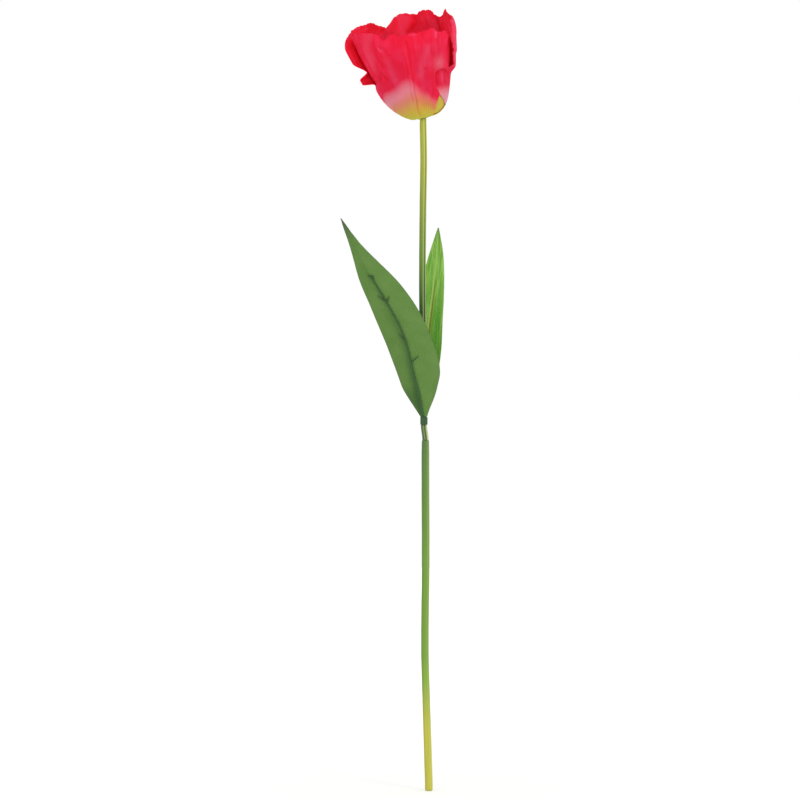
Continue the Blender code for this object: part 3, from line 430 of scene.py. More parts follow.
def soft_band(values, middle, half_width):
    """A band that fades to both sides: exp(-((value - middle) / half width)^2)."""
    return np.exp(-(((values - middle) / half_width) ** 2))


def grid_quads(rows, columns, wrap=False):
    """Corner numbers of the quads between the rows and columns of a grid, as one array."""
    across = columns if wrap else columns - 1
    row, column = np.meshgrid(np.arange(rows - 1), np.arange(across), indexing="ij")
    after = (column + 1) % columns
    corners = (row * columns + column, row * columns + after,
               (row + 1) * columns + after, (row + 1) * columns + column)
    return np.stack(corners, -1).reshape(-1, 4)


def add_piece(name, points, faces, body, materials, stands_for=(), uv=None, attributes=None):
    """Makes a mesh piece from arrays, at the origin, that rides on a body and stands for CAD nodes."""
    mesh = bpy.data.meshes.new(name)
    mesh.from_pydata(points.reshape(-1, 3).tolist(), [], faces)
    if uv is not None:
        corner = np.zeros(len(mesh.loops), np.int32)
        mesh.loops.foreach_get("vertex_index", corner)
        layer = mesh.uv_layers.new(name="cloth")
        layer.uv.foreach_set("vector", uv.reshape(-1, 2)[corner].ravel().astype(np.float32))
    for key, values in (attributes or {}).items():
        attribute = mesh.attributes.new(key, "FLOAT", "POINT")
        attribute.data.foreach_set("value", values.ravel().astype(np.float32))
    mesh.update()
    mesh.shade_smooth()
    for material in materials:
        mesh.materials.append(material)
    piece = bpy.data.objects.new(name, mesh)
    bpy.context.scene.collection.objects.link(piece)
    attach(piece, body)
    if stands_for:
        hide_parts(*stands_for)
    return piece


def ring_points(centres, axes, radii, sides, relief=None):
    """Rings about a path: at angle a, each point is centre + radius (cos a side + sin a across), where
    side and across are square to the ring's axis. relief gives the height added at each angle."""
    axes = unit(np.broadcast_to(axes, centres.shape).astype(float))
    side = unit(SIDEWAYS - (axes @ SIDEWAYS)[:, None] * axes)
    across = np.cross(axes, side)
    angle = np.linspace(0.0, 2 * np.pi, sides, endpoint=False)
    radius = np.repeat(np.asarray(radii, float)[:, None], sides, axis=1)
    if relief is not None:
        radius = radius + relief(angle[None, :], centres[:, 2:3], radius)
    spokes = np.cos(angle)[None, :, None] * side[:, None] + np.sin(angle)[None, :, None] * across[:, None]
    return centres[:, None] + radius[..., None] * spokes


def closed_rings(rings, start, end):
    """Points and faces of rings closed by a pole at each end, with faces outwards when the profile
    runs up the outside."""
    count, sides = rings.shape[:2]
    points = np.vstack([rings.reshape(-1, 3), start, end])
    faces = grid_quads(count, sides, wrap=True).tolist()
    j = np.arange(sides)
    after = (j + 1) % sides
    first, last = count * sides, count * sides + 1
    faces += np.stack([np.full(sides, first), after, j], -1).tolist()
    top = (count - 1) * sides
    faces += np.stack([top + j, top + after, np.full(sides, last)], -1).tolist()
    return points, faces


def joined(shapes):
    """Several sets of points and faces as one."""
    points, faces, offset = [], [], 0
    for some_points, some_faces in shapes:
        points.append(some_points)
        faces += [[corner + offset for corner in face] for face in some_faces]
        offset += len(some_points)
    return np.vstack(points), faces


# Stem


def sway_x(share, sway):
    """Side offset of a stem's centre line at each share of its length."""
    return read_table(smooth_curve(sway, 60), share)


def lower_centres(z):
    """The lower stem stands square on its foot, sways, and is straight along its socket."""
    share = np.clip((z - FOOT_WALL) / (SOCKET_BOTTOM_Z - FOOT_WALL), 0.0, 1.0)
    return np.column_stack([sway_x(share, LOWER_SWAY), np.zeros_like(z), z])


def upper_centres(z):
    """Straight in the socket, leaning over the neck, then swaying up to the bloom."""
    lean = PLUG_X + NECK_LEAN * ease((z - NECK_Z) / NECK_LENGTH)
    above = COLLAR_X + sway_x(np.clip((z - UPPER_Z) / UPPER_STEM_LENGTH, 0.0, 1.0), UPPER_SWAY)
    return np.column_stack([np.where(z < GROOVE_Z, lean, above), np.zeros_like(z), z])


def mould_lines(angle, height, radius):
    """Two parting lines opposite each other, each a soft band, over a wall that swells by the product
    of two sines."""
    turn = np.abs((np.degrees(angle) - PARTING_ANGLE + 90.0) % 180.0 - 90.0)
    line = PARTING_LINE * soft_band(turn, 0.0, PARTING_LINE_TURN)
    fine, coarse = (np.sin(height * SWELL_WAVES[0] + 2 * angle), np.sin(height * SWELL_WAVES[1] + angle))
    return np.where(radius > PLAIN_RADIUS, line + WALL_SWELL * fine * coarse, 0.0)


def stem_sides(points, centres, radius):
    """Where each point of a stem is across it as seen from the front: -1 left, 1 right."""
    side = (points[..., 0] - np.interp(points[..., 2], centres[:, 2], centres[:, 0])) / radius
    return np.clip(side, -1.0, 1.0)


def make_lower_stem(material):
    """A turned profile along the swaying centre line: the flat foot and its rounding, the wall, the
    tapered mouth with a rounded lip, then down inside the socket and the wire's bore."""
    radius, mouth = LOWER_STEM_DIAMETER / 2, MOUTH_DIAMETER / 2
    turn = np.linspace(0.0, np.pi / 2, 7)
    rows = [(0.0, FOOT_ROUNDING / 2)]
    rows += [(FOOT_ROUNDING * (1 - math.cos(a)), radius - FOOT_ROUNDING * (1 - math.sin(a))) for a in turn]
    rows += [(z, radius) for z in np.linspace(0.004, LOWER_STEM_LENGTH - MOUTH_TAPER_LENGTH, 150)]
    lip = EDGE_ROUNDING
    for share in np.linspace(0.06, 1.0, 14):
        z = LOWER_STEM_LENGTH - lip - (MOUTH_TAPER_LENGTH - lip) * (1 - share)
        rows.append((z, radius + (mouth - radius) * share**1.5))
    socket, bore = SPIGOT_DIAMETER / 2 + CLEARANCE, LOWER_WIRE_DIAMETER / 2 + CLEARANCE
    rows += [(LOWER_STEM_LENGTH, mouth - lip), (LOWER_STEM_LENGTH, socket + lip)]
    rows += [(z, socket) for z in np.linspace(LOWER_STEM_LENGTH - lip, SOCKET_BOTTOM_Z, 8)]
    rows += [(z, bore) for z in np.linspace(SOCKET_BOTTOM_Z, FOOT_WALL, 14)]
    heights, radii = np.array(rows).T
    rings = ring_points(lower_centres(heights), UPWARDS, radii, STEM_FACETS, mould_lines)
    ends = lower_centres(np.array([0.0, FOOT_WALL]))
    points, faces = closed_rings(rings, ends[0], ends[1])
    # Each point's place across the stem, where the material paints its highlight line and the shade of its
    # sides
    side = stem_sides(points, lower_centres(np.linspace(0.0, LOWER_STEM_LENGTH, 60)), radius)
    return add_piece("lower_stem_moulding", points, faces, "stem_base", [material],
                     ["lower_stem"], attributes={"side": side})


def make_upper_stem(material):
    """A turned profile: down the wire's bore along the centre line, then up outside past the spigot,
    the neck, the groove for the collar and the long stem to a rounded shoulder tilted to the bloom,
    and the peg."""
    spigot_z = LOWER_STEM_LENGTH - SPIGOT_LENGTH
    spigot, neck = SPIGOT_DIAMETER / 2, NECK_DIAMETER / 2
    groove, radius, peg = GROOVE_DIAMETER / 2, UPPER_STEM_DIAMETER / 2, PEG_DIAMETER / 2
    bore = UPPER_WIRE_DIAMETER / 2 + CLEARANCE
    rows = [(z, bore) for z in np.linspace(UPPER_Z + 0.975 * UPPER_STEM_LENGTH, spigot_z, 60)]
    rows += [(spigot_z, spigot - CHAMFER)]
    rows += [(z, spigot) for z in np.linspace(spigot_z + CHAMFER, NECK_Z, 6)]
    edge = EDGE_ROUNDING
    rows += [(NECK_Z, neck - edge), (NECK_Z + edge, neck)]
    rows += [(z, neck) for z in np.linspace(NECK_Z + 0.0008, GROOVE_Z - edge, 12)]
    rows += [(GROOVE_Z, neck - edge), (GROOVE_Z, groove), (UPPER_Z - CHAMFER, groove)]
    rows += [(UPPER_Z - CHAMFER / 2, groove + CHAMFER), (UPPER_Z, radius)]
    rows += [(z, radius) for z in np.linspace(UPPER_Z + 0.0015, UPPER_Z + 0.985 * UPPER_STEM_LENGTH, 130)]
    heights, radii = np.array(rows).T
    centres = upper_centres(heights)
    inside = BLOOM_BASE + np.array([PEG_LENGTH - PEG_END_WALL, 0.0, -3 * CHAMFER])[:, None] * BLOOM_AXIS
    # The shoulder and the peg, as distance along the bloom's axis and radius
    top = [(-0.0012, radius), (-0.0005, radius - 0.0001), (-0.0001, radius - 0.0003), (0.0, radius - 0.0007),
           (0.0, peg), (PEG_LENGTH - CHAMFER, peg), (PEG_LENGTH, peg - CHAMFER)]
    steps, top_radii = np.array(top).T
    centres = np.vstack([inside, centres, BLOOM_BASE + steps[:, None] * BLOOM_AXIS])
    lean = ease((centres[:, 2:3] - (BLOOM_BASE[2] - 0.012)) / 0.010)
    axes = UPWARDS * (1 - lean) + BLOOM_AXIS * lean
    sizes = np.concatenate([np.full(len(inside), bore), radii, top_radii])
    rings = ring_points(centres, axes, sizes, STEM_FACETS, mould_lines)
    points, faces = closed_rings(rings, centres[0], BLOOM_BASE + BLOOM_AXIS * PEG_LENGTH)
    # Each point's place across the stem, where the material paints its highlight line and the shade of its
    # sides; at the neck they turn to the left
    side = stem_sides(points, upper_centres(np.linspace(spigot_z, BLOOM_BASE[2], 80)), radius)
    side = side + np.interp(points[..., 2], (GROOVE_Z, UPPER_Z), (NECK_PAINTED_LIGHT_SHIFT, 0.0))
    return add_piece("upper_stem_moulding", points, faces, "stem_top", [material],
                     ["upper_stem"], attributes={"side": side})


def make_collar(material):
    """A sleeve in polar form. At each angle its radius is the sleeve's or, past it, the far side of the
    round lug under each rib, and the lugs taper to their foot."""
    heights, inset = np.array(COLLAR_PROFILE).T
    angle = np.linspace(0.0, 2 * np.pi, COLLAR_FACETS, endpoint=False)
    outer = np.full((len(heights), len(angle)), COLLAR_BORE_RADIUS + COLLAR_WALL)
    lug_radius = LUG_FOOT_RADIUS + (LUG_WIDTH / 2 - LUG_FOOT_RADIUS) * heights / COLLAR_LENGTH
    for azimuth, rib in ((LARGE_LEAF_AZIMUTH, LARGE_RIB), (SMALL_LEAF_AZIMUTH, SMALL_RIB)):
        reach = BLADE_RADIUS + LEAF_THICKNESS / 2 + CLEARANCE + rib[0]
        off = (angle - math.radians(azimuth) + np.pi) % (2 * np.pi) - np.pi
        inside = np.maximum(lug_radius[:, None] ** 2 - (reach * np.sin(off)) ** 2, 0.0)
        facing = (np.cos(off) > 0) & (inside > 0)
        outer = np.maximum(outer, np.where(facing, reach * np.cos(off) + np.sqrt(inside), 0.0))
    outer = outer - inset[:, None]
    radius = np.vstack([outer, np.full((2, len(angle)), COLLAR_BORE_RADIUS), outer[:1]])
    rows = np.concatenate([heights, [COLLAR_LENGTH, 0.0], heights[:1]]) + COLLAR_Z
    points = np.stack([COLLAR_X + radius * np.cos(angle), radius * np.sin(angle),
                       np.repeat(rows[:, None], len(angle), axis=1)], -1)
    faces = grid_quads(len(rows) - 1, len(angle), wrap=True)
    seam = grid_quads(len(rows), len(angle), wrap=True)[-len(angle):]
    seam = np.where(seam >= (len(rows) - 1) * len(angle), seam % len(angle), seam)
    points = points[:-1]
    return add_piece("leaf_collar_sleeve", points, faces.tolist() + seam.tolist(), "collar",
                     [material], ["leaf_collar"])


# Leaves


def outward_at(azimuth):
    """The level direction at an angle about the stem, in degrees from +X towards +Y."""
    turn = math.radians(azimuth)
    return np.array([math.cos(turn), math.sin(turn), 0.0])


def leaf_frames(stations, azimuth, count):
    """The midrib's points, half widths, margin bend, left fold, and the directions across and outwards."""
    rows = smooth_curve(np.array(stations), 8 * len(stations))
    shares = np.linspace(0.0, 1.0, count)
    values = [np.interp(shares, rows[:, 0], rows[:, k]) for k in range(1, 8)]
    side, outwards, height, left, right, bend, fold = values
    outward = outward_at(azimuth)
    facing = 1.0 if azimuth < 0 else -1.0
    start = np.array([COLLAR_X, 0.0, COLLAR_TOP_Z + CLEARANCE]) + outward * BLADE_RADIUS
    points = start + side[:, None] * SIDEWAYS + outwards[:, None] * outward + height[:, None] * UPWARDS
    tangent = unit(np.gradient(points, axis=0))
    across = unit(np.cross(outward, tangent) * -facing)
    normal = np.cross(tangent, across) * -facing
    normal = normal * np.sign(normal @ outward)[:, None]
    left, right = (np.maximum(half, 0.0002) for half in (left, right))
    return points, left, right, np.radians(bend), np.radians(fold), across, normal


def leaf_surface(frames, columns):
    """The blade as a grid. From the midrib, each half runs across with a slope of bend |t|, plus the
    left half's fold (1 - |t|)^2 near the rib, so its offset is the running sum of the slope's cosine
    across and of its sine inwards."""
    points, left, right, bend, fold, across, normal = frames
    t = np.linspace(0.0, 1.0, columns)
    halves = []
    for width, sign in ((left, -1.0), (right, 1.0)):
        slope = bend[:, None] * t
        if sign < 0:
            slope = slope + fold[:, None] * (1 - t) ** 2
        middle = (slope[:, 1:] + slope[:, :-1]) / 2
        step = width[:, None] / (columns - 1)
        zero = np.zeros((len(points), 1))
        over = np.hstack([zero, np.cumsum(step * np.cos(middle), axis=1)])
        inward = np.hstack([zero, np.cumsum(step * np.sin(middle), axis=1)])
        half = points[:, None] + across[:, None] * (sign * over)[..., None]
        halves.append(half - normal[:, None] * inward[..., None])
    grid = np.concatenate([halves[0][:, :0:-1], halves[1]], axis=1)
    return grid, np.concatenate([-t[:0:-1], t])


def sheet_uv(points):
    """Distances across and along a grid of points, in metres, with 0 across at its middle column."""
    across = np.linalg.norm(np.diff(points, axis=1), axis=2)
    across = np.hstack([np.zeros((len(points), 1)), np.cumsum(across, axis=1)])
    across = across - across[:, points.shape[1] // 2][:, None]
    along = np.linalg.norm(np.diff(points, axis=0), axis=2)
    along = np.vstack([np.zeros((1, points.shape[1])), np.cumsum(along, axis=0)])
    return np.stack([across, along], -1)


def add_wall(piece, thickness, inner_slot=1):
    """Gives an open surface its wall, with the second material on the far face."""
    wall = piece.modifiers.new("wall", "SOLIDIFY")
    wall.thickness = thickness
    wall.offset = 0.0
    wall.use_quality_normals = True
    wall.material_offset = inner_slot
    wall.material_offset_rim = 0


def leaf_shade(name, t, share):
    """Painted shade where the leaves fold: on the large leaf beside its rib's left side and at its lower
    left margin, and on the small leaf as painted fold shadow in a wedge right of its midrib (above 0);
    below 0, how much darker the small leaf's right half is."""
    if name == "large_leaf":
        beside = soft_band(t, -0.12, 0.22) * (t <= 0) * read_table(RIB_SHADE, share)
        return np.clip(beside + 0.8 * ease((0.17 - share) / 0.10) * ease(-t / 0.4), 0.0, 1.0)
    wedge = soft_band(t, 0.13, 0.09) * read_table(WEDGE_SHADE, share)
    right = soft_band(t, 0.55, 0.35) * read_table(RIGHT_HALF_SHADE, share)
    return wedge - right * (1 - wedge)


def make_blade(name, stations, azimuth, body, materials):
    """A leaf blade on a fine grid. Its veins are a cosine across it, and its margins waver as a sine
    along it times |t|^3."""
    frames = leaf_frames(stations, azimuth, LEAF_ROWS)
    grid, t = leaf_surface(frames, LEAF_COLUMNS)
    share = np.linspace(0.0, 1.0, len(grid))[:, None]
    normal = frames[6][:, None]
    veins = LEAF_VEIN_DEPTH * np.cos(2 * np.pi * LEAF_VEINS * np.abs(t))[None, :]
    veins = veins * ease(share / 0.1) * ease((1 - share) / 0.2)
    waver = LEAF_WAVER * np.sin(share * 31 + 2 * t[None, :]) * np.abs(t[None, :]) ** 3 * ease(share / 0.2)
    grid = grid + normal * (veins + waver)[..., None]
    attributes = {"across": np.repeat(t[None, :], len(grid), axis=0),
                  "along": np.repeat(share, len(t), axis=1), "shade": leaf_shade(name, t[None, :], share)}
    piece = add_piece(name + "_cloth", grid, grid_quads(*grid.shape[:2]).tolist(), body,
                      materials, [name + "_blade"], sheet_uv(grid), attributes)
    add_wall(piece, LEAF_THICKNESS)
    return frames


def make_rib(name, frames, rib, barbs, azimuth, body, material):
    """A moulded rib: rings up the blade's back from a ball at the hinge, with barbs as tapered tubes
    that lie on the cloth."""
    points, across, normal = frames[0], frames[5], frames[6]
    radius, tip, top_share = rib
    grid = np.linspace(0.0, 1.0, len(points))
    shares = np.linspace(RIB_START, top_share, RIB_RINGS)
    radii = np.linspace(radius, tip, RIB_RINGS)

    def at(values, share):
        """Reads points or directions up the leaf at some shares of it."""
        return np.column_stack([np.interp(share, grid, values[:, k]) for k in range(3)])

    lift = LEAF_THICKNESS / 2 + CLEARANCE
    middle = at(points, shares) + at(normal, shares) * (lift + radii)[:, None]
    reach = BLADE_RADIUS + lift + radius
    foot = np.array([COLLAR_X, 0.0, COLLAR_TOP_Z + CLEARANCE + radius]) + outward_at(azimuth) * reach
    way = unit(middle[0] - foot)
    turn = np.radians(np.array([8.0, 25.0, 45.0, 65.0, 90.0]))
    ball = foot - way * radius * np.cos(turn)[:, None]
    centres = np.vstack([ball, middle])
    sizes = np.concatenate([radius * np.sin(turn), radii])
    axes = np.gradient(centres, axis=0)
    shapes = [closed_rings(ring_points(centres, axes, sizes, 20), centres[0] - way * 0.0001,
                           centres[-1] + unit(axes[-1]) * tip * 0.5)]
    for share, degrees, length in barbs:
        place, out, over = (at(values, [share])[0] for values in (points, normal, across))
        along = unit(at(points, [share + 0.01])[0] - place)
        way = along * math.cos(math.radians(degrees)) - over * math.sin(math.radians(degrees))
        steps = np.linspace(0.0, length, 8)
        sink = 0.10 * BARB_RADIUS * (steps / length) ** 2
        barb = place + out * (lift + BARB_RADIUS) + way * steps[:, None] - out * sink[:, None]
        thin = BARB_RADIUS * (1 - 0.45 * (steps / length) ** 1.5)
        shapes.append(closed_rings(ring_points(barb, np.gradient(barb, axis=0), thin, 12), barb[0], barb[-1]))
    points, faces = joined(shapes)
    return add_piece(name + "_rib_moulding", points, faces, body, [material], [name + "_rib"])


# Bloom


def cup_rows():
    """The cup's profile read densely: length along it, radius, height and outward normal."""
    rows = smooth_curve(CUP, 240)
    tangent = unit(np.gradient(rows, axis=0))
    return lengths_along(rows), rows[:, 0], rows[:, 1], tangent[:, 1], -tangent[:, 0]


def margin_lobe(lobes, z):
    """How far a flared side margin stands out at a height, as a share of its flare."""
    share = np.zeros_like(z)
    for low, high, rise, fall, size in lobes:
        share = np.maximum(share, size * ease((z - low) / rise) * ease((high - z) / fall))
    return share


def fold_sums(angle, height, folds):
    """Depth of the pressed folds, and the painted shade (below 0 painted highlight) of the strokes at each
    place: each falls off as exp(-(d / width)^2) with the distance d to its line."""
    depths, shades_and_highlights = np.zeros_like(height), np.zeros_like(height)
    for line, depth, width, shade_or_highlight in folds:
        line = np.array(line)
        nearest = np.full_like(height, 1.0)
        for (a0, h0), (a1, h1) in zip(line, line[1:]):
            run_x = (np.degrees(angle) - a0) * np.pi / 180 * MEAN_RADIUS
            run_y = height - h0
            step_x, step_y = math.radians(a1 - a0) * MEAN_RADIUS, h1 - h0
            share = np.clip((run_x * step_x + run_y * step_y) / (step_x**2 + step_y**2), 0.0, 1.0)
            nearest = np.minimum(nearest, np.hypot(run_x - share * step_x, run_y - share * step_y))
        share = np.exp(-((nearest / width) ** 2))
        depths, shades_and_highlights = depths + depth * share, shades_and_highlights + shade_or_highlight * share
    return depths, shades_and_highlights


def petal_rows(edges, heights, rows):
    """Shares up the petal, closer together where the outline turns quickly about the bloom. Heights
    are those at even shares."""
    turning = np.abs(np.gradient(edges[:, 1:], axis=0)).sum(axis=1) / np.gradient(edges[:, 0])
    cost = 1.0 + ROW_CLOSENESS * np.interp(heights, edges[:, 0], turning)
    total = np.concatenate([[0.0], np.cumsum(cost[1:])])
    return np.interp(np.linspace(0.0, 1.0, rows), total / total[-1], np.linspace(0.0, 1.0, len(heights)))


def petal_grid(name, rows=PETAL_ROWS, columns=PETAL_COLUMNS):
    """A petal on the cup: u is -1 to 1 across it and v is 0 at its foot and 1 at its top edge.

    The outline gives the angle about the bloom at each height, the profile gives radius and height,
    and the layer, ruffles, roll, flares and folds are steps along the profile's outward normal. The
    left side of the whole cup then leans open. Gives the points, and the angle, height, painted shade
    and distances across and along the cloth of each."""
    layer, roll, flares, top_edge, outline = PETALS[name]
    # Rows and columns on the cup: s is the distance up its profile, from the foot to the top edge
    u = np.linspace(-1.0, 1.0, columns)[None, :] * np.ones((rows, 1))
    along, radius, height, normal_r, normal_z = cup_rows()
    start = float(np.interp(FOOT_RADIUS + PETAL_THICKNESS / 2, radius[:60], along[:60]))
    tops = smooth_curve(top_edge, 80)
    scallop = SCALLOP_DEPTH * np.abs(np.sin(SCALLOP_COUNT * np.pi * (u + 1) / 2 + layer))
    fringe = FRINGE_DEPTH * np.abs(np.sin(FRINGE_COUNT * np.pi * (u + 1) / 2 + 2 * layer)) ** 0.7
    reach = np.interp(np.interp(u, tops[:, 0], tops[:, 1]), height[60:], along[60:])
    reach = (reach - SCALLOP_DEPTH - FRINGE_DEPTH + scallop + fringe)[:1]
    level = reach.mean()
    edges = smooth_curve(outline, 60)
    heights = np.interp(np.linspace(start, level, 400), along, height)
    v = petal_rows(edges, heights, rows)[:, None] * np.ones((1, columns))
    s = start + (level - start) * v + (reach - level) * ease((v - EVEN_ROWS) / (1 - EVEN_ROWS))
    r, z, nr, nz = (np.interp(s, along, row) for row in (radius, height, normal_r, normal_z))
    # The angle of each point, between the outline's low and high side, whose margins are toothed
    low, high = (np.radians(np.interp(z, edges[:, 0], edges[:, k])) for k in (1, 2))
    tooth = TOOTH_DEPTH * np.abs(u) ** 12 * np.abs(np.sin(z * TOOTH_WAVES + layer))
    angle = low + (high - low) * (u * (1 - tooth) + 1) / 2
    if name == "petal_front":
        droop, begin, full, fading, gone = FRONT_LOBE_DROOP
        sink = ease((np.degrees(angle) - begin) / (full - begin)) * ease((gone - z) / (gone - fading))
        s = s - droop * sink
        r, z, nr, nz = (np.interp(s, along, row) for row in (radius, height, normal_r, normal_z))
    # Steps along the outward normal: layer, ruffles, roll, flared sides, folds and veins
    rise = np.clip((s - RUFFLE_START) / RUFFLE_RISE, 0.0, 1.0)
    step = -layer * PETAL_LAYER + WIDE_RUFFLE * rise * np.sin(WIDE_RUFFLE_WAVES * angle + 0.6)
    fine = FINE_RUFFLE_WAVES * angle + 2.0 + s * FINE_RUFFLE_TWIST
    step = step + FINE_RUFFLE * rise**2 * np.sin(fine)
    step = step + roll * ease((v - ROLL_START) / (1 - ROLL_START)) ** 2
    begin, full, still_full, done = LOW_FLARE_ANGLES
    low_side = ease((np.degrees(angle) - begin) / (full - begin))
    low_side = low_side * ease((np.degrees(angle) - done) / (still_full - done))
    high_side = ease((u - FLARE_START) / (1 - FLARE_START))
    step = step + flares[0] * margin_lobe(LOW_SIDE_LOBES, z) * low_side
    step = step + flares[1] * margin_lobe(HIGH_SIDE_LOBES, z) * high_side
    # Folds pressed in the cloth, and the painted shade and highlights along them
    fold, shade = fold_sums(angle, z, FOLDS_AND_PAINTED_LIGHT.get(name, ()))
    veins = PETAL_VEIN_DEPTH * np.sin(angle * PETAL_VEINS + 3 * np.sin(z * 40 + layer)) * ease(s / 0.02)
    step = step - fold + veins
    places_r, places_z = r + nr * step, z + nz * step
    x, y = places_r * np.cos(angle), places_r * np.sin(angle)
    # The cup's left side leans open
    inner, width = LEFT_OPENING_ACROSS
    opening = LEFT_OPENING * np.maximum(places_z - LEFT_OPENING_START, 0.0)
    x = x - opening * ease((-x - inner) / width)
    local = np.stack([x, y, places_z], -1)
    return bloom_to_row(local), angle, z, shade, np.stack([angle * MEAN_RADIUS, s], -1)


def bloom_to_row(local):
    """Turns points about the bloom's own axis to where the bloom leans on its stem."""
    side = unit(SIDEWAYS - (BLOOM_AXIS @ SIDEWAYS) * BLOOM_AXIS)
    across = np.cross(BLOOM_AXIS, side)
    return BLOOM_BASE + local @ np.stack([side, across, BLOOM_AXIS])


def dye_share(name, angle, height):
    """Height as a share of where the petal's full red begins, which wavers by a sine of the angle."""
    start = read_table(RED_STARTS.get(name, PLAIN_RED_START), np.degrees(angle))
    share = height / (start + RED_WAVER * np.sin(9 * angle))
    if name == "petal_inner_right":
        begin, rise = INNER_RIGHT_RED
        share = share + ease((height - begin) / rise)
    return np.clip(share, 0.0, 1.2)


def paleness(name, angle, height, dye):
    """How much undyed cloth shows below the red of each petal, and how much paler the front lobe is in a
    patch.
    """
    band = read_table(PALE_BAND, dye)
    if name == "petal_front":
        degrees = np.degrees(angle)
        turn, level, half_turn, half_height, amount = LOBE_PATCH
        patch = np.exp(-(((degrees - turn) / half_turn) ** 2) - ((height - level) / half_height) ** 2)
        return np.clip(band * read_table(FRONT_PALENESS, degrees) + amount * patch, 0.0, 1.0)
    if name == "petal_right":
        top, fading, low, rising = RIGHT_PALE_FOOT
        return ease((top - height) / fading) * ease((height - low) / rising)
    return 0.3 * band


def make_petal(name, materials):
    """A petal as heat-pressed cloth. Its points carry how far up the dye they are, how pale the cloth is
    there, and the painted shade and painted highlights along its folds."""
    points, angle, height, shade, uv = petal_grid(name)
    dye = dye_share(name, angle, height)
    attributes = {"dye": dye, "pale": paleness(name, angle, height, dye), "shade": np.clip(shade, -1.0, 1.0)}
    piece = add_piece(name + "_cloth", points, grid_quads(*points.shape[:2]).tolist(), "bloom",
                      materials, [name], uv, attributes)
    add_wall(piece, PETAL_THICKNESS)
    return piece


# Materials


def moulded_polyethylene(name, height_stops, painted_light_stops, roughness):
    """Polyethylene moulded over wire: a waxy satin skin that is dull at its edges, sprayed so that one
    green fades to the next, with flow lines 0.4 mm apart along it and a mottle of 2 mm. height_stops
    give the colour by height in mm, and painted_light_stops how strongly a painted highlight line shows
    along it, and the painted shade of its sides, from its left edge at 0 to its right edge at 1 (0.5 is the
    plain colour)."""
    material, tree = new_material(name, {"IOR": 1.5})
    facing = add(tree, "LayerWeight", {"Blend": 0.5}, out="Facing")
    level = add(tree, "MapRange", {"Value": facing, "From Min": 0.3, "From Max": 0.8, "To Min": 0.25,
                                   "To Max": 0.0})
    place = add(tree, "TexCoord", out="Object")
    height = add(tree, "SeparateXYZ", {0: place}, out="Z")
    total = float(cad_box[1][2])
    share = add(tree, "MapRange", {"Value": height, "From Min": 0.0, "From Max": total})
    colour = add(tree, "ValToRGB", {"Fac": share}, [(z / 1000 / total, code) for z, code in height_stops])
    stretched = add(tree, "Mapping", {"Vector": place, "Scale": (1.0, 1.0, 0.04)})
    flow = add(tree, "TexNoise", {"Vector": stretched, "Scale": 2500.0, "Detail": 2.0})
    mottle = add(tree, "TexNoise", {"Vector": stretched, "Scale": 500.0, "Detail": 3.0})
    shade = add(tree, "MapRange", {"Value": mottle, "To Min": 0.86, "To Max": 1.14})
    side = add(tree, "Attribute", out="Fac", attribute_name="side")
    side = add(tree, "MapRange", {"Value": side, "From Min": -1.0, "From Max": 1.0})
    # A grey ramp across the stem: below the plain grey it paints shade on the sides, and above it a pale
    # painted highlight line
    grey = [(edge, "#%02X%02X%02X" % ((round(255 * value),) * 3)) for edge, value in painted_light_stops]
    line = add(tree, "SeparateColor", {0: add(tree, "ValToRGB", {"Fac": side}, grey)})
    dark = add(tree, "MapRange", {"Value": line, "From Min": 0.0, "From Max": PLAIN_GREY, "To Min": 0.3,
                                  "To Max": 1.0})
    pale = add(tree, "MapRange", {"Value": line, "From Min": PLAIN_GREY, "From Max": 1.0, "To Max": 0.6})
    for factor in (shade, dark):
        colour = add(tree, "Mix", {0: 1.0, 6: colour, 7: factor}, out=2, data_type="RGBA",
                     blend_type="MULTIPLY")
    colour = add(tree, "Mix", {0: pale, 6: colour, 7: linear("#F0F9B0")}, out=2, data_type="RGBA")
    gloss = add(tree, "MapRange", {"Value": mottle, "To Min": roughness - 0.04, "To Max": roughness + 0.04})
    bump = add(tree, "Bump", {"Height": flow, "Strength": 0.15, "Distance": 0.00003})
    return finished(material, {"Base Color": colour, "Specular IOR Level": level, "Roughness": gloss,
                               "Normal": bump})


def grained_plastic(name, colours, spread, grain_mm, surface, relief):
    """Moulded plastic with a grain of some mm, mottled between two near colours. They lie at spread to
    both sides of the grain's middle, and relief is the strength and height of its bump."""
    material, tree = new_material(name, surface)
    place = add(tree, "TexCoord", out="Object")
    grain = add(tree, "TexNoise", {"Vector": place, "Scale": 1000.0 / grain_mm, "Detail": 3.0})
    colour = add(tree, "ValToRGB", {"Fac": grain}, list(zip((0.5 - spread, 0.5 + spread), colours)))
    bump = add(tree, "Bump", {"Height": grain, "Strength": relief[0], "Distance": relief[1]})
    return finished(material, {"Base Color": colour, "Normal": bump})


def drawn_steel():
    """Drawn steel wire: grey and half bright, with fine lines along it from the die."""
    material, tree = new_material("drawn_steel_wire", {"Metallic": 1.0})
    place = add(tree, "TexCoord", out="Object")
    stretched = add(tree, "Mapping", {"Vector": place, "Scale": (1.0, 1.0, 0.03)})
    lines = add(tree, "TexNoise", {"Vector": stretched, "Scale": 6000.0, "Detail": 2.0})
    colour = add(tree, "ValToRGB", {"Fac": lines}, [(0.3, "#8E8E8C"), (0.7, "#B4B4B0")])
    rough = add(tree, "MapRange", {"Value": lines, "To Min": 0.30, "To Max": 0.45})
    return finished(material, {"Base Color": colour, "Roughness": rough})


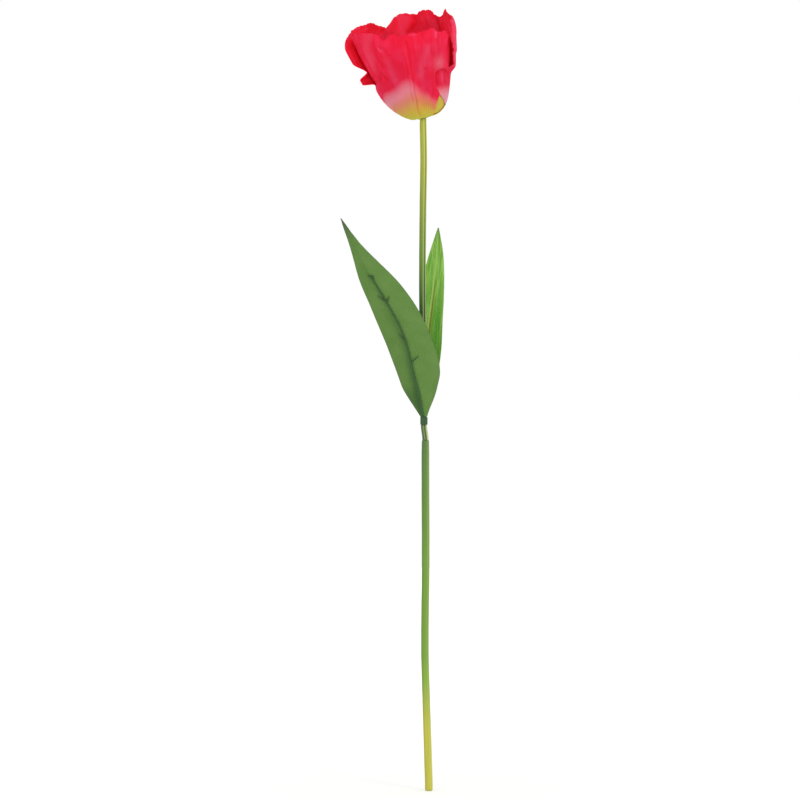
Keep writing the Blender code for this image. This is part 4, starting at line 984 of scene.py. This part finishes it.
def woven_normal(tree, uv, strength, height):
    """The normal of a plain weave, over and under at every thread of the cloth's own distances."""
    cycles = 1 / THREAD_SPACING
    scaled = add(tree, "Mapping", {"Vector": uv, "Scale": (cycles, cycles, 1.0)})
    weave = add(tree, "TexChecker", {"Vector": scaled, "Scale": 1.0, "Color1": (1, 1, 1, 1),
                                     "Color2": (0, 0, 0, 1)}, out="Fac")
    return add(tree, "Bump", {"Height": weave, "Strength": strength, "Distance": height})


def leaf_places(tree):
    """What both faces of a leaf read: places across and along it, its shade, and its cloth's distances."""
    places = [add(tree, "Attribute", out="Fac", attribute_name=key) for key in ("across", "along", "shade")]
    return *places, add(tree, "UVMap", uv_map="cloth")


def leaf_print_face():
    """Polyester taffeta printed on its upper face: fresh green with pale veins along the leaf, a pale
    midrib, darker streaks of 1.4 mm between them, an olive painted fold shadow in a wedge beside the
    midrib and a darker right half. Threads of 0.2 mm are drawn at 0.4 mm."""
    material, tree = new_material("printed_polyester_leaf_face", {
        "Roughness": 0.60, "Specular IOR Level": 0.2})
    across, along, shade, uv = leaf_places(tree)
    stretched = add(tree, "Mapping", {"Vector": uv, "Scale": (1.0, 0.06, 1.0)})
    streak = add(tree, "TexNoise", {"Vector": stretched, "Scale": 700.0, "Detail": 3.0})
    colour = add(tree, "ValToRGB", {"Fac": streak}, [(0.34, "#64A232"), (0.50, "#82B84A"), (0.66, "#A0CE66")])
    wave = add(tree, "Math", {0: across, 1: 2 * math.pi * LEAF_VEINS}, operation="MULTIPLY")
    vein = add(tree, "Math", {0: wave}, operation="COSINE")
    vein = add(tree, "MapRange", {"Value": vein, "From Min": 0.86, "From Max": 1.0, "To Max": 0.55})
    middle = add(tree, "Math", {0: across}, operation="ABSOLUTE")
    rib = add(tree, "MapRange", {"Value": middle, "From Min": 0.10, "From Max": 0.03, "To Max": 0.9})
    # Below 0, the small leaf's darker right half
    shade_share = add(tree, "MapRange", {"Value": shade, "From Max": -1.0, "To Max": 0.7})
    # Above 0, painted fold shadow in the small leaf's olive wedge
    wedge = add(tree, "MapRange", {"Value": shade, "To Max": 0.85})
    tip = add(tree, "MapRange", {"Value": along, "From Min": 0.93, "From Max": 1.0, "To Max": 0.7})
    for amount, code in ((vein, "#A4CC6A"), (rib, "#B0D070"), (shade_share, "#4E942A"), (wedge, "#727418"),
                         (tip, "#55703C")):
        colour = add(tree, "Mix", {0: amount, 6: colour, 7: linear(code)}, out=2, data_type="RGBA")
    weave = woven_normal(tree, uv, 0.3, 0.00004)
    veins = add(tree, "Bump", {"Height": vein, "Strength": 0.6, "Distance": 0.0001, "Normal": weave})
    return finished(material, {"Base Color": colour, "Normal": veins})


def leaf_back_face():
    """The unprinted back of the same taffeta: even grey-green and matt, greyer at its cut edges, with
    the dye of the print showing through in soft blotches of 15 mm, and painted shade beside the rib and
    at the lower left margin where the leaf folds."""
    material, tree = new_material("polyester_leaf_back", {"Roughness": 0.75, "Specular IOR Level": 0.2})
    across, along, shade, uv = leaf_places(tree)
    blotch = add(tree, "TexNoise", {"Vector": uv, "Scale": 65.0, "Detail": 2.0})
    colour = add(tree, "ValToRGB", {"Fac": blotch}, [(0.35, "#608640"), (0.65, "#688C46")])
    # Painted shade where the large leaf folds beside its rib and at its lower left margin
    shade_share = add(tree, "MapRange", {"Value": shade, "To Max": 0.85})
    edge = add(tree, "Math", {0: across}, operation="ABSOLUTE")
    edge = add(tree, "MapRange", {"Value": edge, "From Min": 0.95, "From Max": 1.0, "To Max": 0.6})
    tip = add(tree, "MapRange", {"Value": along, "From Min": 0.88, "From Max": 1.0, "To Max": 0.9})
    for amount, code in ((shade_share, "#3C6230"), (edge, "#5C7650"), (tip, "#4E5A50")):
        colour = add(tree, "Mix", {0: amount, 6: colour, 7: linear(code)}, out=2, data_type="RGBA")
    return finished(material, {"Base Color": colour, "Normal": woven_normal(tree, uv, 0.3, 0.00004)})


def dyed_petal_cloth(name, streaks, dark, light, pale):
    """Polyester satin, heat-pressed and dyed by hand: clear red in lengthwise streaks about 2 mm wide
    over yellow-green, tan and salmon at the foot, pale pink where the dye stops, with painted shade in
    the pressed folds and painted highlights on their crests. Light glows through it a little, reddest
    in the shaded folds. Threads of 0.15 mm are drawn at 0.4 mm."""
    material, tree = new_material(name, {
        "Roughness": 0.75, "Specular IOR Level": 0.12, "IOR": 1.5, "Subsurface Weight": 0.65,
        "Subsurface Radius": (1.0, 0.12, 0.15), "Subsurface Scale": 0.0025})
    uv = add(tree, "UVMap", uv_map="cloth")
    dye, amount, shade = (add(tree, "Attribute", out="Fac", attribute_name=key)
                          for key in ("dye", "pale", "shade"))
    stretched = add(tree, "Mapping", {"Vector": uv, "Scale": (1.0, 0.10, 1.0)})
    streak = add(tree, "TexNoise", {"Vector": stretched, "Scale": 260.0, "Detail": 2.0})
    cloud = add(tree, "TexNoise", {"Vector": uv, "Scale": 90.0, "Detail": 2.0})
    both = add(tree, "Math", {0: streak, 1: cloud}, operation="ADD")
    both = add(tree, "Math", {0: both, 1: 0.5}, operation="MULTIPLY")
    red = add(tree, "ValToRGB", {"Fac": both}, list(zip((0.30, 0.50, 0.70), streaks)))
    wander = add(tree, "MapRange", {"Value": both, "To Min": -0.12, "To Max": 0.12})
    dye = add(tree, "Math", {0: dye, 1: wander}, operation="ADD")
    foot = add(tree, "ValToRGB", {"Fac": dye}, [(0.0, "#C6C448"), (0.20, "#D0B448"), (0.34, "#D8A04A"),
                                                (0.48, "#E08A54"), (0.66, "#F07462"), (0.84, "#FA5468")])
    share = add(tree, "MapRange", {"Value": dye, "From Min": 0.78, "From Max": 1.0})
    # Painted shade along the folds, and below 0 painted highlight on their crests
    shade_share = add(tree, "MapRange", {"Value": shade})
    painted_highlight = add(tree, "MapRange", {"Value": shade, "From Max": -1.0, "To Max": 0.7})
    colour = add(tree, "Mix", {0: share, 6: foot, 7: red}, out=2, data_type="RGBA")
    colour = add(tree, "Mix", {0: amount, 6: colour, 7: linear(pale)}, out=2, data_type="RGBA")
    painted_shade_colour = add(tree, "Mix", {0: 1.0, 6: colour, 7: linear(dark)}, out=2, data_type="RGBA",
                 blend_type="MULTIPLY")
    for part, code in ((shade_share, painted_shade_colour), (painted_highlight, linear(light))):
        colour = add(tree, "Mix", {0: part, 6: colour, 7: code}, out=2, data_type="RGBA")
    weave = woven_normal(tree, uv, 0.2, 0.00003)
    crease = add(tree, "Bump", {"Height": streak, "Strength": 0.3, "Distance": 0.00012, "Normal": weave})
    return finished(material, {"Base Color": colour, "Normal": crease})


# Studio


def make_camera():
    """A long lens at the photograph's height and side, looking level along +Y."""
    data = bpy.data.cameras.new("camera")
    data.sensor_width = SENSOR_WIDTH
    data.lens = SENSOR_WIDTH * CAMERA_DISTANCE / (PHOTO_SIZE * PIXEL)
    data.clip_end = 50.0
    camera = bpy.data.objects.new("camera", data)
    middle = PHOTO_SIZE / 2
    camera.location = ((middle - ORIGIN_PIXEL[0]) * PIXEL, -CAMERA_DISTANCE,
                       (ORIGIN_PIXEL[1] - middle) * PIXEL)
    camera.rotation_euler = (math.pi / 2, 0.0, 0.0)
    bpy.context.scene.collection.objects.link(camera)
    bpy.context.scene.camera = camera


def make_lamp(name, azimuth, elevation, distance, size, watts):
    """A softbox at an azimuth from the camera's side, facing the middle of the flower."""
    data = bpy.data.lights.new(name, "AREA")
    data.shape = "RECTANGLE"
    data.size, data.size_y = size
    data.energy = watts
    lamp = bpy.data.objects.new(name, data)
    turn, rise = math.radians(azimuth), math.radians(elevation)
    out = np.array([math.sin(turn) * math.cos(rise), -math.cos(turn) * math.cos(rise), math.sin(rise)])
    lamp.location = UPWARDS * LAMPS_FACE_HEIGHT + out * distance
    lamp.rotation_euler = (math.pi / 2 - rise, 0.0, turn)
    bpy.context.scene.collection.objects.link(lamp)


def seen_directly(tree):
    """1 for what the camera sees, also by gloss and through glass, and 0 for light on the flower."""
    rays = add(tree, "LightPath").node.outputs
    seen = rays["Is Camera Ray"]
    for kind in ("Is Glossy Ray", "Is Transmission Ray"):
        seen = add(tree, "Math", {0: seen, 1: rays[kind]}, operation="MAXIMUM")
    return seen


def make_studio():
    """A pale floor and an even white surround. To the camera, to gloss and through glass both show
    white, and the floor stays a little darker only where the flower shades it."""
    world = bpy.data.worlds.new("studio")
    bpy.context.scene.world = world
    world.use_nodes = True
    tree = world.node_tree
    tree.nodes.clear()
    strength = add(tree, "MapRange", {"Value": seen_directly(tree), "To Min": WORLD_LIGHT, "To Max": 1.0})
    light = add(tree, "Background", {"Color": (1, 1, 1, 1), "Strength": strength})
    add(tree, "OutputWorld", {"Surface": light}, is_active_output=True)

    half = FLOOR_HALF_WIDTH
    mesh = bpy.data.meshes.new("floor")
    mesh.from_pydata([(-half, -half, 0), (half, -half, 0), (half, half, 0), (-half, half, 0)], [],
                     [(0, 1, 2, 3)])
    floor = bpy.data.objects.new("floor", mesh)
    floor.location = (0.0, 0.0, -CLEARANCE)
    bpy.context.scene.collection.objects.link(floor)
    material, tree = new_material("pale_paper_floor", {
        "Base Color": linear("#F4F4F2"), "Roughness": 0.9, "Specular IOR Level": 0.0,
        "Emission Color": (1, 1, 1, 1)})
    place = add(tree, "TexCoord", out="Object")
    away = add(tree, "VectorMath", {0: place}, out="Value", operation="LENGTH")
    spread = add(tree, "MapRange", {"Value": away, "From Min": 0.1, "From Max": 1.2, "To Min": FLOOR_GLOW[0],
                                    "To Max": FLOOR_GLOW[1]})
    glow = add(tree, "Math", {0: seen_directly(tree), 1: spread}, operation="MULTIPLY")
    mesh.materials.append(finished(material, {"Emission Strength": glow}))


# The flower

# Each stem: sprayed greens by height, then a ramp across it that paints a highlight line and shade on its
# sides
stem_green = moulded_polyethylene("moulded_polyethylene_lower_stem", (
    (0.0, "#CCC64C"), (52.0, "#C4C24A"), (76.0, "#A8B84A"), (92.0, "#8CB040"), (112.0, "#7CA43C"),
    (200.0, "#729C3A"), (262.0, "#608A3C"), (296.0, "#587C3E")),
    ((0.0, 0.42), (0.15, 0.49), (0.40, 0.50), (0.60, 0.49), (0.66, 0.48), (0.71, 0.66), (0.79, 0.66),
     (0.83, 0.36), (1.0, 0.14)), 0.3)
# On the upper stem, the darkest greens from 330 to 425 mm up are painted shadow of the large leaf
upper_green = moulded_polyethylene("moulded_polyethylene_upper_stem", (
    (0.0, "#4E6C3A"), (309.0, "#4E6C3A"), (330.0, "#46662C"), (405.0, "#3C5A24"), (425.0, "#527430"),
    (452.0, "#729238"), (485.0, "#8EA03E"), (520.0, "#A8B03C"), (567.0, "#BCC040")),
    ((0.0, 0.40), (0.20, 0.48), (0.50, 0.49), (0.54, 0.74), (0.68, 0.68), (0.73, 0.38), (0.84, 0.22),
     (1.0, 0.12)), 0.3)
# Soft PVC: dark blue-green and a little glossy
rib_pvc = grained_plastic("soft_pvc_rib", ("#2A4E26", "#3C6238"), 0.20, 0.5,
                          {"Roughness": 0.45, "Specular IOR Level": 0.25}, (0.3, 0.00005))
leaf_face = leaf_print_face()
leaf_back = leaf_back_face()
# Petal cloth: three streak reds, the colour multiplied in for painted shade in folds, the painted highlight
# colour on crests, and the pale of undyed cloth
petal_out = dyed_petal_cloth("dyed_polyester_petal_outside", ("#F6143A", "#FE1E46", "#FF325C"), "#E49AA8",
                             "#FF6488", "#FF98AC")
petal_in = dyed_petal_cloth("dyed_polyester_petal_inside", ("#FA1A3A", "#FF2A4C", "#FF4064"), "#E08C9C",
                            "#FF5078", "#F4A4BC")
# Matt moulded plastic under and inside the bloom: two yellow-greens, and dark flock on the stamens
receptacle_plastic, pistil_plastic, pollen_flock = (
    grained_plastic(name, colours, 0.15, grain_mm, {"Roughness": roughness, "IOR": 1.5}, (0.5, 0.0001))
    for name, colours, grain_mm, roughness in (
        ("matt_moulded_receptacle", ("#A8AE42", "#B8BC54"), 0.4, 0.55),
        ("matt_moulded_pistil", ("#B4BC50", "#C8CC6C"), 0.5, 0.5),
        ("flocked_stamens", ("#1E160E", "#3C2E1A"), 0.15, 0.9)))
steel = drawn_steel()

nodes = frame["nodes"]
for node, material in (("lower_wire", steel), ("upper_wire", steel), ("receptacle", receptacle_plastic),
                       ("pistil", pistil_plastic), ("stamens", pollen_flock)):
    nodes[node].data.materials.clear()
    nodes[node].data.materials.append(material)

make_lower_stem(stem_green)
make_upper_stem(upper_green)
make_collar(rib_pvc)
large = make_blade("large_leaf", LARGE_LEAF, LARGE_LEAF_AZIMUTH, "large_leaf", [leaf_back, leaf_face])
small = make_blade("small_leaf", SMALL_LEAF, SMALL_LEAF_AZIMUTH, "small_leaf", [leaf_face, leaf_back])
make_rib("large_leaf", large, LARGE_RIB, LARGE_BARBS, LARGE_LEAF_AZIMUTH, "large_leaf", rib_pvc)
make_rib("small_leaf", small, SMALL_RIB, (), SMALL_LEAF_AZIMUTH, "small_leaf", rib_pvc)
for petal in PETALS:
    make_petal(petal, [petal_out, petal_in])

make_camera()
make_lamp("key_strip_box", 30.0, 10.0, 2.2, (0.3, 1.9), 10.0)
make_lamp("front_softbox", -20.0, 10.0, 2.4, (1.4, 1.6), 4.0)
make_lamp("top_softbox", 0.0, 75.0, 2.0, (1.6, 1.2), 2.5)
make_studio()
bpy.context.scene.view_settings.view_transform = "Standard"
